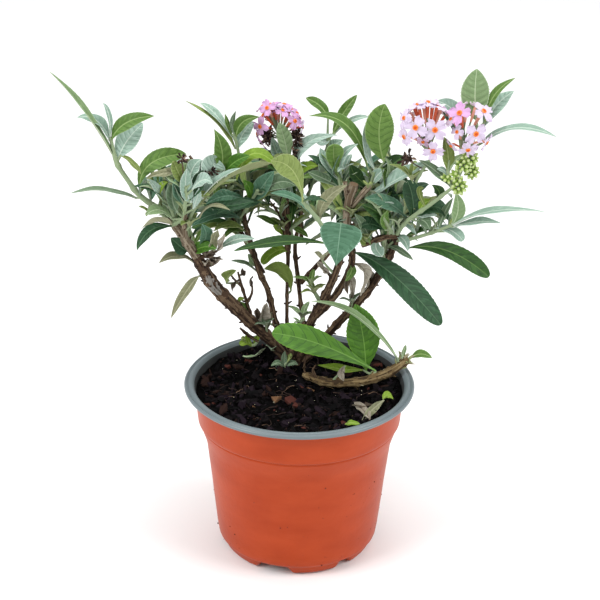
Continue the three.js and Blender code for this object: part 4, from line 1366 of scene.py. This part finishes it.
def inside_crown(points):
    """Whether all points show inside the crown's outline and off its gaps."""
    spots = pixels(points)
    top = np.interp(spots[:, 0], CROWN[:, 0], CROWN[:, 1], left=600, right=600)
    bottom = np.interp(spots[:, 0], CROWN[:, 0], CROWN[:, 2], left=0, right=0)
    if np.any(spots[:, 1] < top) or np.any(spots[:, 1] > bottom):
        return False
    return all(np.all(((spots[:, 0] - x) / wide) ** 2 + ((spots[:, 1] - y) / high) ** 2 > 1)
               for x, y, wide, high in SKY_GAPS)


BOX_LOW, BOX_HIGH = (np.array(corner) / MM for corner in CAD_BOX)


def inside_box(points, margin=3.0):
    """Whether all points keep that far inside the box of the CAD model."""
    return np.all(points > BOX_LOW + margin) and np.all(points < BOX_HIGH - margin)


# Which kinds the leaves grown by rule have: from old leaves low on a shoot to young ones at its tip.
OLD_KINDS = ["dark", "dark", "deep", "deep", "mid", "olive"]
GROWN_KINDS = ["teal", "grey", "mid", "dark", "olive", "sage"]
YOUNG_KINDS = ["grey", "silver", "sage", "silver", "mid"]
RULED_VEINS = 4
LEAF_TRIES, BRANCH_TRIES = 7, 60


def ruled_leaf(start, out, length, age):
    """Tries a leaf from a node. It shortens and turns until it is inside the crown and hides nothing that was
    placed one by one."""
    for _ in range(LEAF_TRIES):
        droop = RNG.uniform(-0.1, 0.5) * (1 - 0.6 * age)
        tip = start + unit(out + [0, 0, -droop]) * length
        via = start + unit(out + [0, 0, 0.25]) * length * 0.52
        width = length * RNG.uniform(0.2, 0.27)
        side = unit(np.cross(out, UP)) * width / 2
        spots = np.array([start * 0.3 + via * 0.7, via + side, via - side, tip])
        along = smooth_path([start, via, tip], 9)[2:]
        spread = np.vstack([along, along[:-2] + side * 0.8, along[:-2] - side * 0.8])
        if inside_crown(np.vstack([spots, along])) and inside_box(spots) and not hides_shown(spread):
            kinds = OLD_KINDS if age < 0.35 else GROWN_KINDS if age < 0.75 else YOUNG_KINDS
            kind = kinds[int(RNG.integers(len(kinds)))]
            normal = unit(UP - out * np.dot(UP, out) + RNG.normal(0, 0.35, 3))
            shape = (LANCE, SPOON, OVAL, SLENDER)[int(RNG.integers(4))]
            leaf(kind, start, tip, width, normal, via, shape=shape, veins=RULED_VEINS,
                 fold=RNG.uniform(8, 34), twist=RNG.normal(0, 0.4), ruffle=RNG.uniform(0.3, 0.9))
            return
        length *= 0.86
        out = unit(out + RNG.normal(0, 0.25, 3))


def dress(path, first, last, spacing, length):
    """Leaves in opposite pairs along a shoot, each pair square to the last, with a tuft in some axils."""
    normals, binormals = carried_normals(path[:, :3])
    rows = np.arange(int(first * len(path)), int(last * len(path)), max(int(spacing / RING_SPACING), 2))
    turn = RNG.uniform(0, math.pi)
    for k in rows:
        age = k / len(path)
        turn += math.pi / 2 + RNG.normal(0, 0.2)
        along = unit(path[min(k + 4, len(path) - 1), :3] - path[max(k - 4, 0), :3])
        for side in (0, math.pi):
            out = normals[k] * math.cos(turn + side) + binormals[k] * math.sin(turn + side)
            aim = unit(out + along * RNG.uniform(0.3, 0.9) + UP * 0.15)
            start = path[k, :3] + out * path[k, 3] * 0.7
            ruled_leaf(start, aim, length * RNG.uniform(0.75, 1.1) * (1.1 - 0.5 * age), age)
            if RNG.random() < 0.5:
                tuft = unit(aim + along * 0.8 + RNG.normal(0, 0.3, 3))
                ruled_leaf(start, tuft, length * RNG.uniform(0.3, 0.5), 0.6 + 0.4 * RNG.random())


# Side shoots grown by rule: the limb, where they start on it as a share, and how many.
SPRAYS = [("back_left", 0.5, 4), ("back_right", 0.5, 4), ("back_centre", 0.3, 5), ("stem_left", 0.8, 3),
          ("stem_left_inner", 0.7, 3), ("stem_back", 0.7, 4), ("stem_middle_fork", 0.5, 3),
          ("stem_right", 0.75, 3), ("stem_back_right", 0.7, 4)]


def branch(name, path, row, count):
    """A side shoot from a row of a limb: it leaves outwards, bends upwards and keeps inside the crown.
    It is None if no try fits."""
    for _ in range(BRANCH_TRIES):
        away = RNG.normal(0, 1, 3) * [1, 1, 0.35] + [0, 0, 0.9]
        reach = RNG.uniform(22, 52)
        start = path[row, :3]
        middle = start + unit(away) * reach * 0.5
        end = middle + unit(away + [0, 0, 0.9]) * reach * 0.5
        shown = smooth_path([start, middle, end], 12)[3:]
        inside = inside_crown(shown) and inside_box(np.array([middle, end]), 8.0)
        if inside and not hides_shown(shown):
            return even_path(f"{name}_{count}", [(*start, 0.9), (*middle, 0.75), (*end, 0.55)])
    return None


BARE_SHOOTS = ("twig_end", "soil_sprout", "right_stalks")  # these have only the leaves placed one by one


def make_ruled_leaves():
    """The leaves grown by rule, on the shoots placed by eye and on side shoots of their own."""
    for name in SHOOTS:
        if name not in BARE_SHOOTS:
            dress(PATHS[name], 0.2, 0.96, 7.0, 30.0)
    for name in HIDDEN_LIMBS:
        dress(PATHS[name], 0.45, 0.98, 7.0, 36.0)
    for name, start, count in SPRAYS:
        path = PATHS[name]
        for number in range(count):
            row = int(len(path) * (start + (1 - start) * (number + 0.5) / count)) - 1
            side = branch(name, path, row, number)
            if side is not None:
                tube(TWIGS, side[:, :3], side[:, 3], 8, 0, bark_relief(0.04, 12.0, number))
                dress(side, 0.15, 0.98, 7.5, 34.0)


# ---------------------------------------------------------------- flowers

PETAL, PETAL_PINK, PETAL_LILAC, PETAL_PAINTED_LIGHT, TUBE, TUBE_PALE, THROAT, THROAT_SHADE = range(8)
# Each flower head: the pixel and depth that its stalks come from, its share of deeper lilac flowers, and its
# flowers: the throat's pixel, the way it faces (right, up, towards the viewer) and its size.
FLOWER_HEADS = [
    ((428, 152), -10, 0.0, [
        ((415.5, 127.6), (-0.25, 0.15, 1), 1.0), ((435, 130), (0.05, 0.05, 1), 1.0),
        ((433, 151.5), (0, -0.3, 1), 0.9), ((404, 137), (-0.8, -0.2, 0.5), 0.85),
        ((404, 118), (-0.8, 0.3, 0.5), 0.8), ((407, 111), (-0.8, 0.6, -0.2), 0.85),
        ((414, 107), (-0.4, 0.8, -0.25), 0.95), ((424, 104), (-0.1, 0.8, -0.2), 1.0),
        ((433, 103), (0.1, 0.8, -0.2), 0.95), ((442, 107), (0.4, 0.8, -0.2), 0.95),
        ((418, 104), (-0.3, 1, 0.1), 0.85), ((428, 102), (0, 1, 0.1), 0.85),
        ((438, 105), (0.3, 1, 0.05), 0.85), ((447, 115), (0.8, 0.5, -0.4), 0.8),
        ((423, 142), (-0.3, -0.5, 0.6), 0.65), ((411, 116), (-0.5, 0.5, -0.6), 0.7),
    ]),
    ((461, 152), -12, 0.08, [
        ((459.5, 113), (-0.45, 0.75, 0.7), 1.0), ((484, 111), (0.5, 0.8, 0.5), 0.95),
        ((476, 134), (0.3, 0, 1), 1.0), ((468, 150), (0.1, -0.5, 0.9), 0.85),
        ((457, 132), (-0.5, 0.3, 0.6), 0.65), ((466, 106), (0, 0.9, -0.9), 0.85),
        ((475, 107), (0.3, 0.9, -0.8), 0.8), ((487, 143), (0.8, -0.4, 0.4), 0.75),
        ((451, 119), (-0.7, 0.5, 0.2), 0.75), ((451, 146), (-0.6, -0.5, 0.4), 0.6),
    ]),
    ((280, 137), 58, 0.65, [
        ((260, 126.5), (-0.6, 0, 0.9), 0.85), ((267, 108), (-0.4, 0.6, 0.8), 0.8),
        ((295, 121), (0.7, 0.3, 0.8), 0.8), ((283, 110), (0.1, 0.8, 0.5), 0.75),
        ((273, 104), (-0.2, 1, -0.1), 0.9), ((284, 104), (0.1, 1, -0.1), 0.85),
        ((291, 109), (0.5, 0.8, 0.1), 0.85), ((300, 118), (0.9, 0.4, -0.1), 0.8),
        ((263, 115), (-0.8, 0.5, 0.1), 0.8), ((257, 134), (-0.9, -0.1, 0.1), 0.8),
        ((261, 143), (-0.8, -0.6, 0.2), 0.7), ((303, 127), (0.9, 0, 0.1), 0.7),
        ((270, 104), (-0.3, 1, -0.1), 0.75), ((279, 106), (0, 1, -0.1), 0.75),
        ((290, 108), (0.5, 1, -0.1), 0.7), ((262, 106), (-0.8, 0.8, -0.2), 0.7),
        ((297, 113), (0.8, 0.7, 0.1), 0.7), ((276, 110), (-0.3, 0.9, -0.1), 0.7),
        ((269, 116), (-0.6, 0.5, -0.3), 0.6), ((290, 116), (0.5, 0.5, -0.3), 0.65),
    ]),
]
PETAL_ROWS, PETAL_COLUMNS = 6, 7
PETAL_THICKNESS = 0.22
PINK_CHANCE, PALE_TUBE_CHANCE = 0.05, 0.45
TUBE_RADII = np.array([1.35, 1.25, 1.15, 1.05, 1.0, 0.95, 0.9, 0.8, 0.7])


def lobe(throat, facing, radial, size, k, lift_back):
    """The grid of points of a flower's ruffled lobe number k. Each lobe starts a little behind the last."""
    swing = np.cross(facing, radial)
    phase = RNG.uniform(0, 6)
    recurve = RNG.uniform(-0.3, 0.15) + lift_back
    teeth = RNG.uniform(0.78, 1.08, PETAL_COLUMNS)
    points = []
    for u in np.linspace(0, 1, PETAL_ROWS):
        reach = (1.0 + 5.3 * u) * size
        half = size * (1.3 + 2.2 * u ** 0.9 * (1.001 - u) ** 0.22)
        for tooth, v in zip(teeth, np.linspace(-1, 1, PETAL_COLUMNS)):
            lift = 0.6 * math.sin(4.5 * v + phase) * u + 0.35 * v * v * u + recurve * u * u * 3
            lift -= 0.15 * k * (1 - u)
            out = reach * (1 + (tooth - 1) * u) * (1 - 0.12 * v * v * u)
            points.append(throat + radial * out + swing * v * half + facing * lift * size)
    return np.array(points).reshape(PETAL_ROWS, PETAL_COLUMNS, 3)


def flower_tube(piece, throat, facing, size, root):
    """The tube behind a flower, its throat's ring with a disc of painted shade in the mouth, and its stalk."""
    mark = TUBE_PALE if RNG.random() < PALE_TUBE_CHANCE else TUBE
    base = throat - facing * 2.0 * size
    back = unit(root - base)
    bend = smooth_path([throat + facing * 0.25, base, base + (back * 0.6 - facing * 0.4) * 3 * size,
                        base + unit(back * 0.8 - facing * 0.3) * 7.5 * size], len(TUBE_RADII))
    tube(piece, bend, TUBE_RADII * size, 10, mark)
    ring = [throat - facing * 0.3, throat + facing * 0.3, throat + facing * 0.5]
    tube(piece, ring, np.array([1.0, 1.4, 1.15]) * size, 12, THROAT)
    # a darker orange disc in the throat's mouth: painted shade of the tube's opening
    shade_disc = [throat, throat + facing * 0.5, throat + facing * 0.58]
    tube(piece, shade_disc, np.array([0.8, 0.8, 0.6]) * size, 10, THROAT_SHADE)
    stem = smooth_path([bend[-1], (bend[-1] + root) / 2, root], 5)
    tube(TWIGS, stem, [0.5, 0.4, 0.4, 0.4, 0.5], 6, 0)


def floret(piece, throat, facing, size, root, lilac):
    """One flower: four ruffled lobes round an orange throat, on a tube that runs back to its stalk."""
    petal = PETAL_LILAC if RNG.random() < lilac else PETAL_PINK if RNG.random() < PINK_CHANCE else PETAL
    if facing[1] > 0.15:  # turned away, so its back is in shade; the palest petal colour paints light onto it
        petal = PETAL_PAINTED_LIGHT
    lift_back = -0.22 * (1 - abs(facing[1]) / np.linalg.norm(facing))
    facing = unit(facing)
    side = unit(np.cross(facing, RNG.normal(size=3)))
    high = np.cross(facing, side)
    spin = RNG.uniform(0, math.pi / 2)
    for k in range(4):
        angle = spin + k * math.pi / 2 + RNG.normal(0, 0.08)
        radial = side * math.cos(angle) + high * math.sin(angle)
        grid = lobe(throat, facing, radial, size, k, lift_back)
        sheet(piece, grid, -facing * PETAL_THICKNESS, petal)
    flower_tube(piece, throat, facing, size, root)


def flower_materials():
    """The materials of petals, tubes and throats, in the order of their marks."""
    # The palest petal colour paints light onto the shaded backs of flowers turned away.
    petals = surfaces({"petal": (208, 194, 216), "petal_pink": (208, 180, 206),
                       "petal_lilac": (204, 160, 202), "petal_painted_light": (240, 226, 242)},
                      roughness=0.7, bump=0.5, bump_size=0.8, sheen=0.1, specular=0.2)
    tubes = surfaces({"flower_tube": (222, 106, 70), "flower_tube_pale": (228, 164, 140)},
                     roughness=0.6, bump=0.3, bump_size=0.6)
    throat = surface("throat", rgb(232, 128, 44), 0.6, bump=0.3, bump_size=0.4)
    # The darkest orange paints the shade in the mouth of the tube.
    deep = surface("throat_painted_shade", rgb(196, 70, 12), 0.7, bump=0.3, bump_size=0.4)
    return petals + tubes + [throat, deep]


def make_flowers():
    """The flower heads, the green buds and the spent flowers."""
    nodes = ["foliage_right_blossom", "foliage_centre_blossom"]
    blossom = Piece("blossom", flower_materials(), "blossom", nodes)
    for head, depth, lilac, flowers in FLOWER_HEADS:
        root = seen(*head, depth)
        for (px, py), (right, up, towards), size in flowers:
            throat, facing = seen(px, py, depth - 7 * towards), np.array([right, -towards, up])
            floret(blossom, throat, facing, size, root, lilac)
    blossom.build(60)
    make_buds()
    make_spent_flowers()


# Clusters of green buds: middle, half width and half height in pixels, depth and how many buds.
BUD_CLUSTERS = [((469, 158), 8, 6.5, -13, 30), ((463, 165), 7, 6, -14, 22), ((472, 171), 6, 7, -13, 24),
                ((459, 186), 6.5, 8, -15, 28), ((447, 178), 5, 4, -14, 12), ((455, 174), 3.5, 3.5, -14, 8)]
GOLDEN_TURN = math.pi * (3 - math.sqrt(5))  # spreads points evenly over a ball


def make_buds():
    """Balls of green buds, each bud with a pale tip."""
    greens = surfaces({"bud_pale": (184, 198, 140), "bud_green": (140, 168, 76)},
                      roughness=0.7, bump=0.4, bump_size=0.4)
    buds = Piece("buds", greens, "blossom", ["foliage_right_buds"])
    for (px, py), wide, high, depth, count in BUD_CLUSTERS:
        centre = seen(px, py, depth)
        scale = np.array([wide, max(wide, high) * 0.8, high]) / (RIM_RADIUS_SEEN / RIM_RADIUS)
        for k in range(count):
            high_share = 1 - (2 * k + 1) / count
            level = math.sqrt(1 - high_share ** 2)
            out = np.array([level * math.cos(k * GOLDEN_TURN), level * math.sin(k * GOLDEN_TURN), high_share])
            place = centre + out * (scale - 1.4) * RNG.uniform(0.85, 1.1)
            radius = RNG.uniform(0.8, 1.0)
            spindle(buds, place, place + out * 2.0, radius, 1, 8, rings=6)
            spindle(buds, place + out * 0.7, place + out * 2.4, radius * 0.84, 0, 8)
            tube(TWIGS, [centre, place + out * 0.4], 0.3, 5, 0)
    buds.build(70)


# Brown remains of spent flowers: middle, half width and half height in pixels, their shoot and how many.
SPENT_CLUSTERS = [((268, 136), 5, 11, "centre_flower", 90), ((296, 137), 6, 10, "centre_flower", 90),
                  ((407, 158), 8, 5, "right_flower", 40), ((211, 171), 8, 4, "left_inner", 34),
                  ((182, 159), 4, 3, "left_heart", 16), ((294, 156), 2, 8, "centre_flower", 24)]


def make_spent_flowers():
    """Clusters of small brown spindles, each on its own thread."""
    browns = surfaces({"spent_dark": (46, 34, 31), "spent_brown": (84, 66, 58), "spent_pale": (128, 108, 92)},
                      roughness=0.9, bump=0.6, bump_size=0.5, specular=0.15)
    spent = Piece("spent_flowers", browns, "bark")
    for (px, py), wide, high, limb, count in SPENT_CLUSTERS:
        carrier = PATHS[limb][nearest_seen(limb, px, py), :3]
        centre = seen(px, py, carrier[1] - 2)
        tube(spent, smooth_path([carrier, (carrier + centre) / 2 - [0, 0, 0.5], centre], 6), 0.3, 6, 1)
        scale = np.array([wide, wide, high]) / (RIM_RADIUS_SEEN / RIM_RADIUS)
        for _ in range(count):
            out = unit(RNG.normal(size=3))
            place = centre + out * scale * RNG.uniform(0.2, 0.9)
            tube(spent, [centre + [0, 0, out[2] * scale[2] * 0.4], place], 0.2, 4, 1)
            spindle(spent, place, place + unit(out + RNG.normal(0, 0.6, 3)) * RNG.uniform(1.4, 3.4),
                    RNG.uniform(0.35, 0.7), int(RNG.choice(3, p=(0.5, 0.35, 0.15))), 6, 0.4)
    spent.build(70)


# ---------------------------------------------------------------- small growth and dead leaves

# Small rosettes: pixel, limb, leaves, their length and kind.
ROSETTES = [
    ((272, 350), "stem_left", 5, 5, "grey"), ((300, 325), "stem_middle", 5, 6, "sage"),
    ((276, 328), "stem_back", 5, 6, "sage"),
    ((314, 293), "stem_middle", 9, 9, "olive"), ((311, 284), "stem_middle", 6, 8, "mid"),
    ((352, 303), "stem_right", 5, 7, "grey"), ((266, 326), "stem_left", 4, 7, "grey"),
    ((302, 318), "stem_back_right", 5, 10, "sage"), ((322, 260), "stem_middle", 5, 8, "tan"),
    ((283, 228), "stem_back", 6, 9, "olive"), ((368, 187), "pruned_knob", 4, 4, "olive"),
    ((366, 240), "red_twig", 6, 8, "olive"), ((352, 214), "stem_middle_fork", 6, 8, "olive"),
    ((243, 208), "stem_left_inner", 6, 11, "olive"), ((190, 226), "left_heart_fork", 6, 9, "olive"),
    ((398, 224), "right", 6, 7, "sage"), ((412, 180), "right_flower", 6, 11, "olive"),
    ((206, 256), "node_twig", 6, 5, "dead"), ((212, 264), "node_knob", 6, 5, "dead"),
    ((345, 170), "right_inner", 5, 9, "silver"), ((217, 262), "node_knob", 5, 4, "dry"),
    ((150, 214), "left", 5, 7, "olive"), ((205, 265), "node_knob", 4, 4, "dry"),
]
# Withered leaves: their limb, base, bend and tip in pixels, width and kind.
WITHERED = [
    ("stem_left", (262, 328), (263, 314), (267, 303), 8, "dry"),
    ("stem_left", (261, 326), (257, 314), (257, 308), 4, "dead"),
    ("stem_left", (266, 330), (269, 320), (272, 312), 3, "tan"),
    ("stem_middle", (330, 274), (321, 268), (318, 261), 5, "dry"),
    ("stem_right", (350, 304), (352, 286), (347, 270), 4, "dry"),
    ("stem_right", (358, 300), (367, 286), (366, 266), 8, "dry"),
    ("stem_middle_fork", (352, 264), (364, 272), (360, 296), 6, "dry"),
    ("stem_middle_fork", (350, 272), (346, 282), (348, 294), 4, "dead"),
    ("withered_side", (226, 283), (229, 276), (236, 270), 6, "olive"),
    ("withered_twig", (240, 280), (235, 284), (232, 292), 2.5, "dead"),
    ("withered_twig", (239, 276), (243, 272), (242, 268), 3, "dead"),
    ("withered_fork", (252, 287), (250, 281), (253, 276), 2.5, "dead"),
    ("withered_twig", (245, 298), (240, 300), (238, 305), 2.5, "lime"),
    ("withered_twig", (250, 312), (243, 306), (238, 300), 3, "mid"),
    ("left_heart", (178, 177), (166, 173), (146, 179), 5, "tan"),
    ("node_knob", (207, 264), (214, 261), (221, 258), 4, "dead"),
    ("node_twig", (202, 257), (208, 256), (216, 254), 4, "dead"),
    ("stem_right", (392, 246), (380, 238), (368, 244), 2.5, "dead"),
]
# Things lying on the soil: base, bend and tip in pixels, width and kind.
FALLEN = [
    ((380, 403), (366, 407), (352, 405), 5.5, "dead"), ((370, 419), (364, 411), (354, 402), 5, "dry"),
    ((384, 400), (372, 410), (362, 420), 4, "tan"),
    ((383, 399), (387, 396), (393, 399), 4.5, "lime"), ((243, 356), (255, 356), (265, 348), 3.4, "sage"),
    ((345, 424), (352, 423), (360, 424), 3, "lime"),
]
FALLEN_HEIGHTS = (1.6, 2.6, 1.8)  # of their base, bend and tip over the soil
ROSETTE_VEINS, DEAD_VEINS = 3, 6


def rosette(centre, count, length, kind):
    """A tuft of small leaves in opposite pairs, the inner ones steeper."""
    turn = RNG.uniform(0, math.pi)
    for k in range(count):
        turn += math.pi / 2 if k % 2 == 0 else math.pi
        steep = 0.4 + 1.1 * k / count + RNG.normal(0, 0.15)
        out = unit(np.array([math.cos(turn), math.sin(turn), steep]))
        reach = length * (1.1 - 0.5 * k / count) * RNG.uniform(0.8, 1.15)
        tip = centre + out * reach
        via = centre + unit(out + [0, 0, 0.35]) * reach * 0.5
        leaf(kind, centre, tip, reach * RNG.uniform(0.3, 0.4), unit(UP - out * out[2]), via,
             veins=ROSETTE_VEINS, fold=RNG.uniform(12, 30), shape=OVAL, puff=0.15, ruffle=0.3)


def make_small_growth():
    """Rosettes on the wood, withered leaves, and leaves that lie on the soil."""
    for (px, py), limb, count, length, kind in ROSETTES:
        row = nearest_seen(limb, px, py)
        centre = seen(px, py, PATHS[limb][row, 1] - PATHS[limb][row, 3])
        stalk(PATHS[limb], row, centre)
        rosette(centre, count, length, kind)
    for limb, base, via, tip, width, kind in WITHERED:
        seen_leaf(limb, base, via, tip, -3, width, RNG.uniform(10, 60), kind, veins=DEAD_VEINS, ruffle=1.6,
                  twist=RNG.normal(0, 0.8), fold=RNG.uniform(20, 45), puff=0.5)
    for base, via, tip, width, kind in FALLEN:
        spots = zip((base, via, tip), FALLEN_HEIGHTS)
        first, middle, last = (on_ground(*spot, height) for spot, height in spots)
        leaf(kind, first, last, width, UP + RNG.normal(0, 0.3, 3), middle, veins=DEAD_VEINS, ruffle=0.9,
             twist=RNG.normal(0, 0.5), fold=RNG.uniform(10, 30))


# ---------------------------------------------------------------- floor and light

# In metres, as everything in this section is.
FLOOR_REACH = 6.0
FLOOR_DROP = 0.0005


def make_stage():
    """A white floor just under the pot's foot."""
    white = surface("floor", rgb(246, 246, 246), 0.9, bump=0.05, bump_size=3)
    mesh = bpy.data.meshes.new("floor")
    corners = [(x * FLOOR_REACH, y * FLOOR_REACH, 0) for x, y in ((-1, -1), (1, -1), (1, 1), (-1, 1))]
    mesh.from_pydata(corners, [], [(0, 1, 2, 3)])
    mesh.materials.append(white)
    floor = bpy.data.objects.new("floor", mesh)
    bpy.context.scene.collection.objects.link(floor)
    floor.location.z = -FLOOR_DROP


LIGHT_AIM = (0, 0, 0.12)
SKY_STRENGTH = 0.62


def area_light(name, position, size, power):
    """A square lamp that points at the middle of the plant."""
    data = bpy.data.lights.new(name, "AREA")
    data.size = size
    data.energy = power
    light = bpy.data.objects.new(name, data)
    bpy.context.scene.collection.objects.link(light)
    light.location = position
    light.rotation_euler = (Vector(LIGHT_AIM) - Vector(position)).to_track_quat("-Z", "Y").to_euler()


def make_light():
    """A white sky and three soft lamps."""
    world = bpy.data.worlds.new("studio")
    bpy.context.scene.world = world
    world.use_nodes = True
    sky = world.node_tree.nodes["Background"]
    sky.inputs["Color"].default_value = (1.0, 1.0, 1.0, 1.0)
    sky.inputs["Strength"].default_value = SKY_STRENGTH
    area_light("key_left", (-1.2, -0.7, 1.2), 0.9, 20)
    area_light("key_right", (1.3, -0.5, 1.1), 0.9, 16)
    area_light("top", (0.1, 0.2, 1.9), 1.0, 14)
    bpy.context.scene.view_settings.view_transform = "Standard"


# ---------------------------------------------------------------- assembly

make_camera()
make_light()
make_stage()
make_pot()
make_soil()
make_bark()

green = surface("green_wood", rgb(136, 153, 118), 0.8, bump=0.5, bump_size=0.5, sheen=0.1, specular=0.2)
TWIGS = Piece("green_shoots", [green], "green_wood", ["shoot_left", "shoot_right", "shoot_front"])
make_shoots()
make_seen_leaves()
make_small_growth()
make_ruled_leaves()
make_flowers()
TWIGS.build(70)
masses = [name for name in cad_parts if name.startswith(("foliage", "leaf", "sprout"))]
for leaf_batch in LEAVES.values():
    leaf_batch.replaces = masses
    leaf_batch.build()
